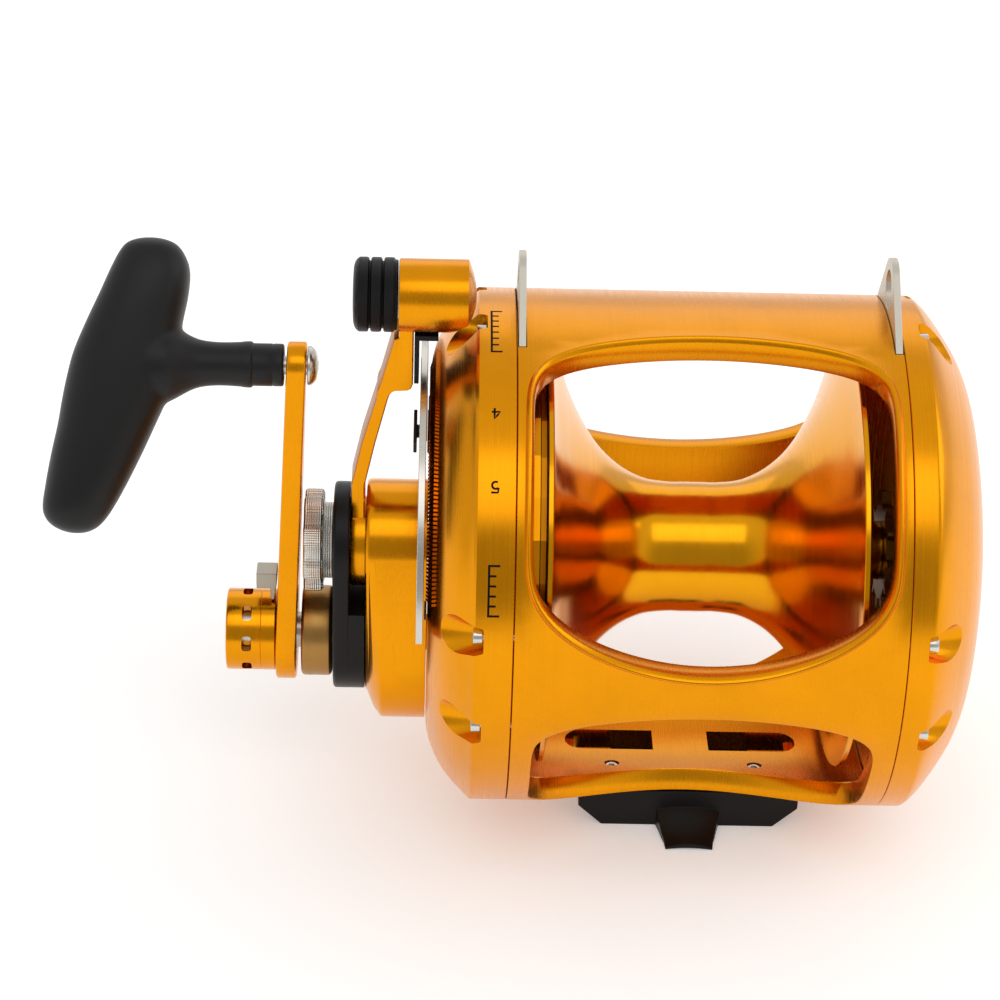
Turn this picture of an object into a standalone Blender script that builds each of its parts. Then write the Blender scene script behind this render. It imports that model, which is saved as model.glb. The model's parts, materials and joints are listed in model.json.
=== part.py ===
"""Two-speed lever-drag trolling reel, as an assembly of separate pieces.

Metres, +Z up. The origin is on the flat underside of the reel foot, below the middle of the spool.
The spool axis runs along X. The handle (drive) side is -X, the clicker side is +X, the rod tip is towards -Y.
Dimensions below are in millimetres from the spool axis; MM turns them into metres.
Angles round the spool axis: 0 is the front (-Y), 90 is up (+Z), 180 is the rear (+Y).
"""

import math

import bmesh
import bpy
from mathutils import Vector, geometry

MM = 0.001
AXIS_H = 94.3  # height of the spool axis over the underside of the foot

# frame
FR_R, FR_RI, FR_X = 84.0, 76.5, 60.2
WIN_X = 55.2
FR_SEG = 48
LIP_H = 1.3
# side plates
PL_X = 60.5
BOLT_R, BOLT_HEAD_R, BOLT_SHANK_R = 79.6, 2.75, 1.45
POCKET_R = 4.0
POCKET_FLARE = 0.277
BOLT_ANGLES = (11.9, -11.9, 89.0, 112.4, 180.0, 203.4, -78.3, -101.7)
PL_SEG = 40
# gear train
HZ = -36.0  # handle axis below the spool axis: 30 teeth at module 1.2 on each pair
MODULE = 1.2
T_HIGH, T_HIGH_P = 40, 20
T_LOW, T_LOW_P = 34, 26
BACKLASH = 0.42
SHAFT_R, HSHAFT_R = 5.0, 6.0
RUN = 0.08  # radial clearance of a running fit
GAP = 0.3
# handle
ARM_L = 101.8
# grip stands turned back about its spindle
GRIP_TURN = math.radians(33.0)
# drag lever
LEV_ANGLE = 88.0
LEV_R = 93.8


def clear_scene():
    for obj in list(bpy.data.objects):
        bpy.data.objects.remove(obj, do_unlink=True)
    for mesh in list(bpy.data.meshes):
        bpy.data.meshes.remove(mesh)


clear_scene()

MATS = {}


def mat(name, rgb, metallic, rough):
    m = bpy.data.materials.new(name)
    m.use_nodes = True
    b = m.node_tree.nodes["Principled BSDF"]
    b.inputs["Base Color"].default_value = (*rgb, 1.0)
    b.inputs["Metallic"].default_value = metallic
    b.inputs["Roughness"].default_value = rough
    m.diffuse_color = (*rgb, 1.0)
    MATS[name] = m
    return m


GOLD = mat("gold_anodised", (0.80, 0.42, 0.03), 1.0, 0.28)
BLACK = mat("black_anodised", (0.02, 0.018, 0.018), 0.6, 0.45)
STEEL = mat("stainless", (0.62, 0.60, 0.56), 1.0, 0.3)
BRONZE = mat("bronze", (0.42, 0.26, 0.09), 1.0, 0.38)
RUBBER = mat("soft_grip", (0.025, 0.023, 0.025), 0.0, 0.6)
GEARSTEEL = mat("gear_steel", (0.45, 0.45, 0.46), 1.0, 0.35)
CARBON = mat("drag_carbon", (0.05, 0.05, 0.055), 0.0, 0.5)


def polar(r, deg):
    """(y, z) of a point at radius r and angle deg round the spool axis."""
    a = math.radians(deg)
    return -r * math.cos(a), r * math.sin(a)


def finish(obj, material, sharp=32.0):
    me = obj.data
    bm = bmesh.new()
    bm.from_mesh(me)
    bmesh.ops.remove_doubles(bm, verts=bm.verts, dist=2e-6)
    bmesh.ops.dissolve_degenerate(bm, dist=1e-6, edges=bm.edges)
    bmesh.ops.recalc_face_normals(bm, faces=bm.faces)
    for f in bm.faces:
        f.smooth = True
    for e in bm.edges:
        e.smooth = len(e.link_faces) == 2 and e.calc_face_angle(0.0) < math.radians(sharp)
    bm.to_mesh(me)
    bm.free()
    me.materials.clear()
    me.materials.append(material)
    # its own copy of the material for each piece
    me.materials[0] = material.copy()
    me.materials[0].name = obj.name
    return obj


def new_obj(name, verts, faces):
    me = bpy.data.meshes.new(name)
    me.from_pydata([(x * MM, y * MM, (z + AXIS_H) * MM) for x, y, z in verts], [], faces)
    obj = bpy.data.objects.new(name, me)
    bpy.context.scene.collection.objects.link(obj)
    bm = bmesh.new()
    bm.from_mesh(me)
    bmesh.ops.recalc_face_normals(bm, faces=bm.faces)
    bm.to_mesh(me)
    bm.free()
    return obj


def boolean(obj, cutter, op="DIFFERENCE"):
    """Applies one exact Boolean and removes the cutter."""
    cutter.hide_render = True
    cutter.display_type = "WIRE"
    m = obj.modifiers.new("cut", "BOOLEAN")
    m.operation = op
    m.solver = "EXACT"
    m.object = cutter
    bpy.context.view_layer.update()
    graph = bpy.context.evaluated_depsgraph_get()
    me = bpy.data.meshes.new_from_object(obj.evaluated_get(graph))
    obj.modifiers.clear()
    old = obj.data
    obj.data = me
    bpy.data.meshes.remove(old)
    bpy.data.objects.remove(cutter, do_unlink=True)
    return obj


def join(objs):
    """One object from several separate closed cutters."""
    bm = bmesh.new()
    for o in objs:
        bm.from_mesh(o.data)
    me = bpy.data.meshes.new("cutters")
    bm.to_mesh(me)
    bm.free()
    out = bpy.data.objects.new("cutters", me)
    bpy.context.scene.collection.objects.link(out)
    for o in objs:
        bpy.data.objects.remove(o, do_unlink=True)
    return out


def revolve(name, profile, n, cy=0.0, cz=0.0, closed=True, turn=0.0):
    """Turns (x, r) points round an axis along X through (cy, cz). An open profile starts and ends on the axis."""
    verts, rows = [], []
    for x, r in profile:
        if r < 1e-6:
            rows.append([len(verts)] * n)
            verts.append((x, cy, cz))
        else:
            rows.append(list(range(len(verts), len(verts) + n)))
            for i in range(n):
                a = 2 * math.pi * (i + turn) / n
                verts.append((x, cy + r * math.cos(a), cz + r * math.sin(a)))
    faces = []
    last = len(profile) if closed else len(profile) - 1
    for k in range(last):
        a, b = rows[k], rows[(k + 1) % len(profile)]
        for i in range(n):
            j = (i + 1) % n
            f = [a[i], a[j], b[j], b[i]]
            f = [v for m, v in enumerate(f) if v != f[m - 1]]
            if len(f) > 2:
                faces.append(f)
    return new_obj(name, verts, faces)


def cyl_x(name, r, x0, x1, n, cy=0.0, cz=0.0, turn=0.0):
    return revolve(name, [(x0, 0), (x0, r), (x1, r), (x1, 0)], n, cy, cz, False, turn)


def ring_x(name, r0, r1, x0, x1, n, cy=0.0, cz=0.0, c=0.0):
    """A ring, with chamfers c on its outer edges."""
    if c:
        p = [(x0, r0), (x0, r1 - c), (x0 + c, r1), (x1 - c, r1), (x1, r1 - c), (x1, r0)]
    else:
        p = [(x0, r0), (x0, r1), (x1, r1), (x1, r0)]
    return revolve(name, p, n, cy, cz)


def loft(name, sections):
    """Sections are (points), each a list of the same number of (x, y, z)."""
    verts, faces = [], []
    n = len(sections[0])
    for s in sections:
        verts += s
    for k in range(len(sections) - 1):
        for i in range(n):
            j = (i + 1) % n
            faces.append([k * n + i, k * n + j, (k + 1) * n + j, (k + 1) * n + i])
    faces.append(list(range(n))[::-1])
    faces.append([(len(sections) - 1) * n + i for i in range(n)])
    return new_obj(name, verts, faces)


def prism_x(name, outline, x0, x1):
    return loft(name, [[(x0, y, z) for y, z in outline], [(x1, y, z) for y, z in outline]])


def prism_y(name, outline, y0, y1):
    return loft(name, [[(x, y0, z) for x, z in outline], [(x, y1, z) for x, z in outline]])


def box(name, x0, x1, y0, y1, z0, z1):
    return prism_y(name, [(x0, z0), (x1, z0), (x1, z1), (x0, z1)], y0, y1)


def cyl_z(name, r, z0, z1, n, x, y):
    ring = [(x + r * math.cos(2 * math.pi * i / n), y + r * math.sin(2 * math.pi * i / n)) for i in range(n)]
    return loft(name, [[(a, b, z0) for a, b in ring], [(a, b, z1) for a, b in ring]])


def hull2(c1, r1, c2, r2, n):
    """Outline of the hull of two circles in (y, z)."""
    out = []
    for i in range(n):
        a = 2 * math.pi * i / n
        d = (math.cos(a), math.sin(a))
        s1 = c1[0] * d[0] + c1[1] * d[1] + r1
        s2 = c2[0] * d[0] + c2[1] * d[1] + r2
        c, r = (c1, r1) if s1 >= s2 else (c2, r2)
        out.append((c[0] + r * d[0], c[1] + r * d[1]))
    return out


def gear_outline(teeth, cy, cz, phase, module=MODULE, backlash=BACKLASH):
    """Straight-flanked teeth. phase is the direction of one tooth's middle, in radians from +Y towards +Z."""
    pr = module * teeth / 2
    half = math.pi / (2 * teeth) - backlash / (2 * pr)
    add, ded = 0.95 * module, 1.25 * module
    tip = half - math.tan(math.radians(20)) * add / pr
    root = half + math.tan(math.radians(20)) * ded / pr
    out = []
    for i in range(teeth):
        a = phase + 2 * math.pi * i / teeth
        for r, d in ((pr - ded, -root), (pr + add, -tip), (pr + add, tip), (pr - ded, root)):
            out.append((cy + r * math.cos(a + d), cz + r * math.sin(a + d)))
    return out


# ---------------------------------------------------------------- frame
def window(x_half, xc, top_mid, top_k, bot_mid, bot_k, n, power=8.0):
    """Rounded four-sided window in (x, degrees). Top and bottom edges are parabolas along x."""
    pts = []
    for i in range(n):
        t = 2 * math.pi * (i + 0.5) / n
        # even spacing along a superellipse
        c, s = math.cos(t), math.sin(t)
        m = (abs(c) ** power + abs(s) ** power) ** (-1.0 / power)
        u, w = c * m, s * m
        dx = u * x_half
        top = top_mid + top_k * dx * dx
        bot = bot_mid + bot_k * dx * dx
        pts.append((xc + dx, (top + bot) / 2 + w * (top - bot) / 2))
    return pts


def offset(outline, d):
    """Moves an outline in (x, degrees) outwards by d millimetres on the frame's surface."""
    k = math.radians(1) * FR_R
    out = []
    n = len(outline)
    for i in range(n):
        x0, t0 = outline[i - 1]
        x1, t1 = outline[(i + 1) % n]
        tx, tt = x1 - x0, (t1 - t0) * k
        m = math.hypot(tx, tt)
        out.append((outline[i][0] + d * tt / m, outline[i][1] - d * tx / m / k))
    return out


def inside(p, poly):
    x, y = p
    hit = False
    for i in range(len(poly)):
        x0, y0 = poly[i - 1]
        x1, y1 = poly[i]
        if (y0 > y) != (y1 > y) and x < (x1 - x0) * (y - y0) / (y1 - y0) + x0:
            hit = not hit
    return hit


SEAM = 100.0  # where the unrolled sheet meets itself, in the top bar


def sheet(r, holes, half_x, seg, xs):
    """Triangles of the cylinder of radius r with holes, as [(x, degrees)], faces."""
    squeeze = 0.35
    k = math.radians(1) * FR_R
    pts, edges = [], []
    for h in holes:
        first = len(pts)
        pts += [(x * squeeze, t * k) for x, t in h]
        edges += [(first + i, first + (i + 1) % len(h)) for i in range(len(h))]
    rim = [(-half_x, SEAM - 360.0 * i / seg) for i in range(seg + 1)]
    rim += [(x, SEAM - 360.0) for x in xs]
    rim += [(half_x, SEAM - 360.0 + 360.0 * i / seg) for i in range(seg + 1)]
    rim += [(x, SEAM) for x in reversed(xs)]
    first = len(pts)
    pts += [(x * squeeze, t * k) for x, t in rim]
    edges += [(first + i, first + (i + 1) % len(rim)) for i in range(len(rim))]
    for i in range(1, seg):
        t = SEAM - 360.0 * i / seg
        for x in xs:
            keep = True
            for h in holes:
                if inside((x, t), h) or min(math.hypot((x - a) * 0.5, (t - b) * k) for a, b in h) < 2.6:
                    keep = False
                    break
            if keep:
                pts.append((x * squeeze, t * k))
    vs, _, fs, *_ = geometry.delaunay_2d_cdt([Vector(p) for p in pts], edges, [], 0, 1e-7, False)
    vs = [(v[0] / squeeze, v[1] / k) for v in vs]
    faces = []
    for f in fs:
        c = (sum(vs[i][0] for i in f) / 3, sum(vs[i][1] for i in f) / 3)
        if not any(inside(c, h) for h in holes):
            faces.append(list(f))
    return vs, faces


def build_frame(name):
    n = 40
    w1 = window(WIN_X, 0.0, 82.6, -0.0026, 4.4, 0.0047, n)
    w2 = window(53.4, 0.0, -6.6, -0.0019, -70.3, 0.0068, n)
    w3 = window(53.4, 0.0, -109.7, -0.0068, -163.0, 0.0019, n)
    w4 = window(53.4, 0.0, -174.0, -0.0023, -236.5, 0.0026, n)
    outer_holes, inner_holes, verts, faces = [], [], [], []

    def add(points, fs):
        base = len(verts)
        for x, t, r in points:
            y, z = polar(r, t)
            verts.append((x, y, z))
        for f in fs:
            faces.append([base + i for i in f])

    def strip(levels, outline):
        m = len(outline)
        pts = []
        for d, r in levels:
            pts += [(x, t, r) for x, t in (offset(outline, d) if d else outline)]
        fs = []
        for k in range(len(levels) - 1):
            for i in range(m):
                j = (i + 1) % m
                fs.append([k * m + i, k * m + j, (k + 1) * m + j, (k + 1) * m + i])
        add(pts, fs)

    for w, levels in (
        (w1, [(2.8, FR_R), (1.6, FR_R + LIP_H), (0.0, FR_R - 0.4), (0.0, FR_RI)]),
        (w2, [(0.0, FR_R), (0.0, FR_RI)]),
        (w3, [(0.0, FR_R), (0.0, FR_RI)]),
        (w4, [(0.0, FR_R), (0.0, FR_RI)]),
    ):
        strip(levels, w)
        outer_holes.append(offset(w, levels[0][0]) if levels[0][0] else w)
        inner_holes.append(w)
    xs = [-57.6, -30.0, 0.0, 30.0, 57.6]
    for r, holes in ((FR_R, outer_holes), (FR_RI, inner_holes)):
        vs, fs = sheet(r, holes, FR_X, FR_SEG, xs)
        add([(x, t, r) for x, t in vs], fs)
    for x in (-FR_X, FR_X):
        pts, fs = [], []
        for i in range(FR_SEG):
            t = SEAM - 360.0 * i / FR_SEG
            pts += [(x, t, FR_R), (x, t, FR_RI)]
            j = (i + 1) % FR_SEG
            fs.append([2 * i, 2 * i + 1, 2 * j + 1, 2 * j])
        add(pts, fs)
    obj = new_obj(name, verts, faces)
    bm = bmesh.new()
    bm.from_mesh(obj.data)
    bmesh.ops.remove_doubles(bm, verts=bm.verts, dist=2e-6)
    bmesh.ops.recalc_face_normals(bm, faces=bm.faces)
    bm.to_mesh(obj.data)
    bm.free()
    return obj


def wedge(name, x0, x1, r0, r1, t0, t1, n=6):
    """A block between two radii and two angles round the spool axis."""
    ring = [polar(r0, t0 + (t1 - t0) * i / n) for i in range(n + 1)]
    ring += [polar(r1, t1 + (t0 - t1) * i / n) for i in range(n + 1)]
    return prism_x(name, ring, x0, x1)


LUG_T0, LUG_T1 = 79.9, 114.0
LUG_Y, LUG_Z, LUG_R, LUG_W = 12.6, 90.8, 10.0, 2.3
FOOT_SCREWS = [(-24.0, -21.3), (24.0, -21.3), (-24.0, 21.3), (24.0, 21.3)]


def lug_outline(n=15):
    """A tongue that tapers from its foot in the frame to the eye's ring."""
    out = [polar(79.5, LUG_T0 + (LUG_T1 - LUG_T0) * i / 4) for i in range(5)]
    base_l, base_r = polar(83.9, LUG_T0), polar(83.9, LUG_T1)

    def tangent(p, side):
        dy, dz = p[0] - LUG_Y, p[1] - LUG_Z
        return math.atan2(dz, dy) + side * math.acos(LUG_R / math.hypot(dy, dz))

    a0, a1 = tangent(base_r, 1), tangent(base_l, -1)
    while a1 < a0:
        a1 += 2 * math.pi
    out.append(base_r)
    for i in range(n):
        a = a0 + (a1 - a0) * i / (n - 1)
        out.append((LUG_Y + LUG_R * math.cos(a), LUG_Z + LUG_R * math.sin(a)))
    out.append(base_l)
    return out


frame = build_frame("frame")
cutters = [
    wedge("c", -FR_X - 1, -FR_X + 0.5 + LUG_W, 79.2, 92.0, LUG_T0 - 0.3, LUG_T1 + 0.3),
    wedge("c", FR_X - 0.5 - LUG_W, FR_X + 1, 79.2, 92.0, LUG_T0 - 0.3, LUG_T1 + 0.3),
]
for side in (-1, 1):
    for a in BOLT_ANGLES:
        if a in (89.0, 112.4):
            continue
        y, z = polar(BOLT_R, a)
        x0, x1 = sorted((side * (FR_X - 5.0), side * (FR_X + 1.0)))
        cutters.append(cyl_x("c", BOLT_SHANK_R + GAP, x0, x1, 8, y, z))
boolean(frame, join(cutters))
cutters = []
for x, y in FOOT_SCREWS:
    cutters.append(cyl_z("c", 2.5, -90.0, -70.0, 12, x, y))
for s in (-1, 1):
    # D-shaped pockets in the floor bar: square at the middle, round at the outer end
    ring = [(s * 9.4, -10.4), (s * 33.4, -10.4)]
    for i in range(1, 8):
        a = math.radians(-90 + 180 * i / 8)
        ring.append((s * (33.4 + 5.9 * math.cos(a)), -4.5 + 5.9 * math.sin(a)))
    ring += [(s * 33.4, 1.4), (s * 9.4, 1.4)]
    cutters.append(loft("c", [[(x, y, -80.4) for x, y in ring], [(x, y, -70.0) for x, y in ring]]))
boolean(frame, join(cutters))
cutters = []
for s in (-1, 1):
    # the deeper part goes right through; a step is left in front at the round end
    ring = [(s * 9.4, -10.4), (s * 23.5, -10.4), (s * 23.5, -3.6), (s * 36.0, -3.6), (s * 36.0, 1.4), (s * 9.4, 1.4)]
    cutters.append(loft("c", [[(x, y, -86.0) for x, y in ring], [(x, y, -79.0) for x, y in ring]]))
boolean(frame, join(cutters))
finish(frame, GOLD)

for tag, s in (("d", -1), ("c", 1)):
    x0, x1 = sorted((s * (FR_X - 0.2), s * (FR_X - 0.2 - LUG_W)))
    lug = prism_x("harness_lug_" + tag, lug_outline(), x0, x1)
    boolean(lug, cyl_x("c", 6.15, x0 - 2, x1 + 2, 32, LUG_Y, LUG_Z))
    finish(lug, STEEL)

# ---------------------------------------------------------------- side plates
D_OUT = [(-PL_X, 84.0), (-72.2, 84.0), (-74.4, 81.8), (-78.2, 78.0), (-82.0, 73.0), (-85.0, 66.9), (-86.7, 61.0), (-87.0, 57.0)]
D_IN = [(-87.0, 9.5), (-83.6, 9.5), (-83.6, 59.0), (-80.3, 65.5), (-69.0, 70.0), (-PL_X, 75.0)]
C_OUT = [(PL_X, 84.0), (69.0, 84.0), (73.0, 79.0), (78.0, 72.3), (82.0, 66.0), (84.8, 59.0), (88.0, 46.0), (89.8, 34.0), (91.3, 14.0), (91.5, 0.0)]
C_IN = [(87.0, 0.0), (87.0, SHAFT_R + GAP), (78.0, SHAFT_R + GAP), (78.0, 12.0), (85.6, 16.0), (85.6, 34.0), (83.0, 48.0), (78.5, 60.0), (68.0, 70.5), (PL_X, 75.0)]


def pockets(side, floor, far):
    """Tapered pockets that open outwards: POCKET_R at the floor, wider away from it."""
    out = []
    for a in BOLT_ANGLES:
        y, z = polar(BOLT_R, a)
        ey, ez = polar(1.0, a)  # outward
        ty, tz = -ez, ey
        rows = []
        for x in (floor, far):
            r = POCKET_R + POCKET_FLARE * (x - floor)
            ring = []
            for i in range(7):
                b = math.radians(180 * i / 6)
                ring.append((side * x, y + r * (ty * math.cos(b) - ey * math.sin(b)), z + r * (tz * math.cos(b) - ez * math.sin(b))))
            for s in (-1.0, 1.0):
                ring.append((side * x, y + 9.0 * ey + s * r * ty, z + 9.0 * ez + s * r * tz))
            rows.append(ring)
        out.append(loft("c", rows))
    return out


def shank_holes(side, floor):
    out = []
    for a in BOLT_ANGLES:
        y, z = polar(BOLT_R, a)
        x0, x1 = sorted((side * (PL_X - 2), side * (floor + 1)))
        out.append(cyl_x("c", BOLT_SHANK_R + GAP, x0, x1, 8, y, z))
    return out


D_FLOOR, C_FLOOR = 69.6, 66.4
plate = revolve("drive_side_plate", D_OUT + D_IN, PL_SEG)
boolean(plate, join(pockets(-1, D_FLOOR, 95.0)))
boolean(plate, join(shank_holes(-1, D_FLOOR)))
boolean(plate, cyl_x("c", 17.0, -95.0, -80.0, 32, 0.0, HZ))
finish(plate, GOLD)

plate = revolve("clicker_side_plate", C_IN + C_OUT, PL_SEG, closed=False)
boolean(plate, join(pockets(1, C_FLOOR, 95.0)))
boolean(plate, join(shank_holes(1, C_FLOOR)))
CL_ANGLE = 213.0
CL_R = 50.0


def radial_box(name, x0, x1, r0, r1, half, deg):
    """A block that runs out along angle deg, half wide to each side."""
    ey, ez = polar(1.0, deg)
    ty, tz = -ez, ey
    ring = [(r0 * ey - half * ty, r0 * ez - half * tz), (r1 * ey - half * ty, r1 * ez - half * tz), (r1 * ey + half * ty, r1 * ez + half * tz), (r0 * ey + half * ty, r0 * ez + half * tz)]
    return prism_x(name, ring, x0, x1)


boolean(plate, radial_box("c", 75.0, 95.0, CL_R - 3.3 - 4.0, CL_R + 3.3, 3.3, CL_ANGLE))
finish(plate, GOLD)

for tag, side, floor in (("d", -1, D_FLOOR), ("c", 1, C_FLOOR)):
    for i, a in enumerate(BOLT_ANGLES):
        y, z = polar(BOLT_R, a)
        end = FR_X - 0.6 if a in (89.0, 112.4) else FR_X - 4.6
        head0, head1 = floor + 0.3, floor + 3.3
        p = [(end, 0), (end, BOLT_SHANK_R), (head0, BOLT_SHANK_R), (head0, BOLT_HEAD_R), (head1, BOLT_HEAD_R), (head1, 0)]
        if a in (89.0, 112.4):
            # these two end short of the harness lug's slot
            p[0], p[1] = (PL_X + 0.5, 0), (PL_X + 0.5, BOLT_SHANK_R)
        s = revolve(f"plate_screw_{tag}{i + 1}", [(side * u, r) for u, r in p], 8, y, z, False)
        finish(s, STEEL)

# ---------------------------------------------------------------- gear housing and cover
SP, HA = (0.0, 0.0), (0.0, HZ)


def section(x, r_up, r_low, n=36):
    return [(x, y, z) for y, z in hull2(SP, r_up, HA, r_low, n)]


housing = loft("gear_housing", [section(-107.3, 19.6, 18.6), section(-106.6, 20.4, 20.0), section(-104.4, 20.6, 25.2), section(-101.8, 20.6, 28.6), section(-87.3, 20.6, 28.6)])
boolean(housing, loft("c", [section(-101.0, 17.2, 25.2), section(-80.0, 17.2, 25.2)]))
boolean(housing, cyl_x("c", 9.1, -110.0, -95.0, 32))
boolean(housing, cyl_x("c", 11.3, -110.0, -95.0, 32, 0.0, HZ))
DOG_P = (17.0, HZ + 8.0)
boolean(housing, cyl_x("c", 1.8 + RUN, -103.8, -95.0, 16, *DOG_P))
finish(housing, GOLD)

cover = loft("gear_cover", [section(-118.0, 18.5, 18.1, 36), section(-117.4, 19.5, 19.1, 36), section(-112.7, 19.5, 19.1, 36)])
block = [(19.08 * math.cos(math.pi + math.pi * i / 24), HZ + 19.08 * math.sin(math.pi + math.pi * i / 24)) for i in range(25)]
block += [(19.08, -17.0), (-19.08, -17.0)]
boolean(cover, prism_x("c", block, -113.5, -107.6), "UNION")
boolean(cover, cyl_x("c", SHAFT_R + 0.6, -125.0, -105.0, 28))
boolean(cover, cyl_x("c", HSHAFT_R + 0.6, -125.0, -105.0, 28, 0.0, HZ))
finish(cover, BLACK)

finish(ring_x("handle_bearing", HSHAFT_R + RUN, 11.0, -106.8, -101.2, 32, 0.0, HZ), GEARSTEEL)

# ---------------------------------------------------------------- quadrant
Q0, Q1 = -90.4, -88.2
STOP_T, STOP_R0, STOP_R1 = 70.5, 54.0, 60.0
sy, sz = polar((STOP_R0 + STOP_R1) / 2, STOP_T)
quad = wedge("quadrant_plate", Q0, Q1, 52.0, 69.0, 5.5, 172.0, 28)
boolean(quad, cyl_x("c", 2.1 + RUN, -95.0, -85.0, 24, sy, sz))
finish(quad, STEEL)
for i, a in enumerate((11.5, 160.0)):
    y, z = polar(58.5, a)
    finish(cyl_x(f"quadrant_post_{i + 1}", 3.0, Q1 + GAP, -87.3, 20, y, z), BLACK)
stop = wedge("strike_stop", Q1 + GAP, -87.3, STOP_R0, STOP_R1, STOP_T - 6.5, STOP_T + 6.5, 6)
boolean(stop, cyl_x("c", 2.5, -92.0, -85.0, 20, sy, sz))
finish(stop, BLACK)
button = wedge("strike_button", -92.3, -91.2, STOP_R0, STOP_R1, STOP_T - 6.5, STOP_T + 6.5, 6)
boolean(button, cyl_x("c", 2.1, -91.8, -88.6, 24, sy, sz), "UNION")
finish(button, BLACK)

# ---------------------------------------------------------------- foot
def foot():
    prof = [(-35.0, -80.0), (-35.0, -86.6), (-27.0, -94.3), (31.0, -94.3), (39.0, -86.6), (39.0, -80.0)]
    f = prism_y("reel_foot", prof[::-1], -28.0, 28.0)
    boolean(f, cyl_x("c", FR_R + GAP, -60.0, 60.0, 128))
    for s in (-1, 1):
        rows = []
        # the strip that the reel seat's hood grips: it narrows and thins outwards, and its tip is hollowed to sit on a round seat
        for y, half, top, arch in ((24.0, 11.5, -85.8, 0.0), (28.0, 10.6, -86.8, 0.0), (34.0, 9.2, -90.0, 0.0), (38.0, 8.3, -91.4, 0.35), (41.3, 7.9, -92.0, 0.7)):
            ring = [(2 - half, top + 0.5), (2 - half, -94.3)]
            for u in (-0.5, 0.0, 0.5):
                ring.append((2 + half * u, -94.3 + arch * (1 - u * u)))
            ring += [(2 + half, -94.3), (2 + half, top + 0.5), (2 + half * 0.5, top), (2 - half * 0.5, top)]
            rows.append([(x, s * y, z) for x, z in ring])
        boolean(f, loft("c", rows), "UNION")
    holes = [cyl_z("c", 2.5, -88.9, -70.0, 12, x, y) for x, y in FOOT_SCREWS]
    boolean(f, join(holes))
    return finish(f, BLACK)


foot()
for i, (x, y) in enumerate(FOOT_SCREWS):
    top = -math.sqrt(FR_RI**2 - y * y) - 0.5
    finish(cyl_z(f"foot_screw_{i + 1}", 2.2, -88.6, top - 0.6, 12, x, y), STEEL)

# ---------------------------------------------------------------- shaft, spool, drag
shaft = revolve("spool_shaft", [(-123.0, 0), (-123.0, SHAFT_R - 0.6), (-122.4, SHAFT_R), (86.4, SHAFT_R), (86.4, 0)], 32, closed=False)
finish(shaft, STEEL)

SPOOL = [
    (-50.4, 71.4), (-48.5, 71.4), (-45.3, 61.0), (-40.4, 48.0), (-33.4, 35.2), (-25.5, 27.2), (-17.0, 22.6), (-9.0, 21.4),
    (7.8, 21.4), (15.8, 22.6), (24.3, 27.2), (32.2, 35.2), (39.2, 48.0), (44.1, 61.0), (47.3, 71.4), (49.2, 71.4),
    (49.2, 66.0), (43.0, 46.0), (36.0, 33.0), (30.6, 26.8), (30.6, 9.6), (61.4, 9.6), (61.4, SHAFT_R + 0.6), (30.0, SHAFT_R + 0.6), (30.0, 11.3), (23.6, 11.3), (23.6, 9.0),
    (18.0, 9.0), (18.0, 17.4), (-18.0, 17.4), (-18.0, 9.0), (-24.2, 9.0), (-24.2, 11.3), (-30.6, 11.3), (-30.6, 26.0), (-38.5, 34.0), (-43.4, 42.0), (-50.4, 42.0),
]
finish(revolve("spool", SPOOL, 32), GOLD)
finish(ring_x("spool_bearing_d", SHAFT_R + RUN, 11.0, -30.6, -24.5, 32), GEARSTEEL)
finish(ring_x("spool_bearing_c", SHAFT_R + RUN, 11.0, 23.9, 29.7, 32), GEARSTEEL)
finish(ring_x("drag_washer", 44.0, 67.5, -52.4, -50.7, 32), CARBON)
finish(revolve("drag_plate", [(-55.8, 69.0), (-52.7, 69.0), (-52.7, 43.0), (-53.6, 41.0), (-53.6, SHAFT_R + RUN), (-66.4, SHAFT_R + RUN), (-66.4, 9.5), (-57.2, 9.5), (-55.8, 14.0)], 32), GEARSTEEL)

pinions = prism_x("pinion_cluster", gear_outline(T_HIGH_P, 0, 0, -math.pi / 2), -81.5, -75.0)
boolean(pinions, prism_x("c", gear_outline(T_LOW_P, 0, 0, -math.pi / 2), -73.9, -66.7), "UNION")
boolean(pinions, cyl_x("c", 9.5, -78.0, -70.0, 32), "UNION")
boolean(pinions, cyl_x("c", SHAFT_R + RUN, -90.0, -60.0, 32))
finish(pinions, GEARSTEEL)

CL_TEETH = 12


def click_outline():
    out = []
    for i in range(CL_TEETH):
        a = math.radians(180 - CL_ANGLE) + 2 * math.pi * (i + 0.5) / CL_TEETH
        for r, d in ((16.2, -0.075), (20.0, -0.028), (20.0, 0.028), (16.2, 0.075)):
            out.append((r * math.cos(a + d), r * math.sin(a + d)))
    return out


click = prism_x("click_gear", click_outline(), 61.7, 64.7)
boolean(click, cyl_x("c", SHAFT_R + 0.6, 50.0, 80.0, 28))
finish(click, BRONZE)

ey, ez = polar(1.0, CL_ANGLE)
flat = [(20.9, -0.8), (26.0, -0.8), (27.0, -3.0), (CL_R + 3.0, -3.0), (CL_R + 3.0, 3.0), (27.0, 3.0), (26.0, 0.8), (20.9, 0.8)]
clicker = prism_x("clicker_slide", [(r * ey - w * ez, r * ez + w * ey) for r, w in flat], 61.9, 64.5)
boolean(clicker, radial_box("c", 64.0, 90.2, CL_R - 2.9, CL_R + 2.9, 2.9, CL_ANGLE), "UNION")
finish(clicker, BLACK)

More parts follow.
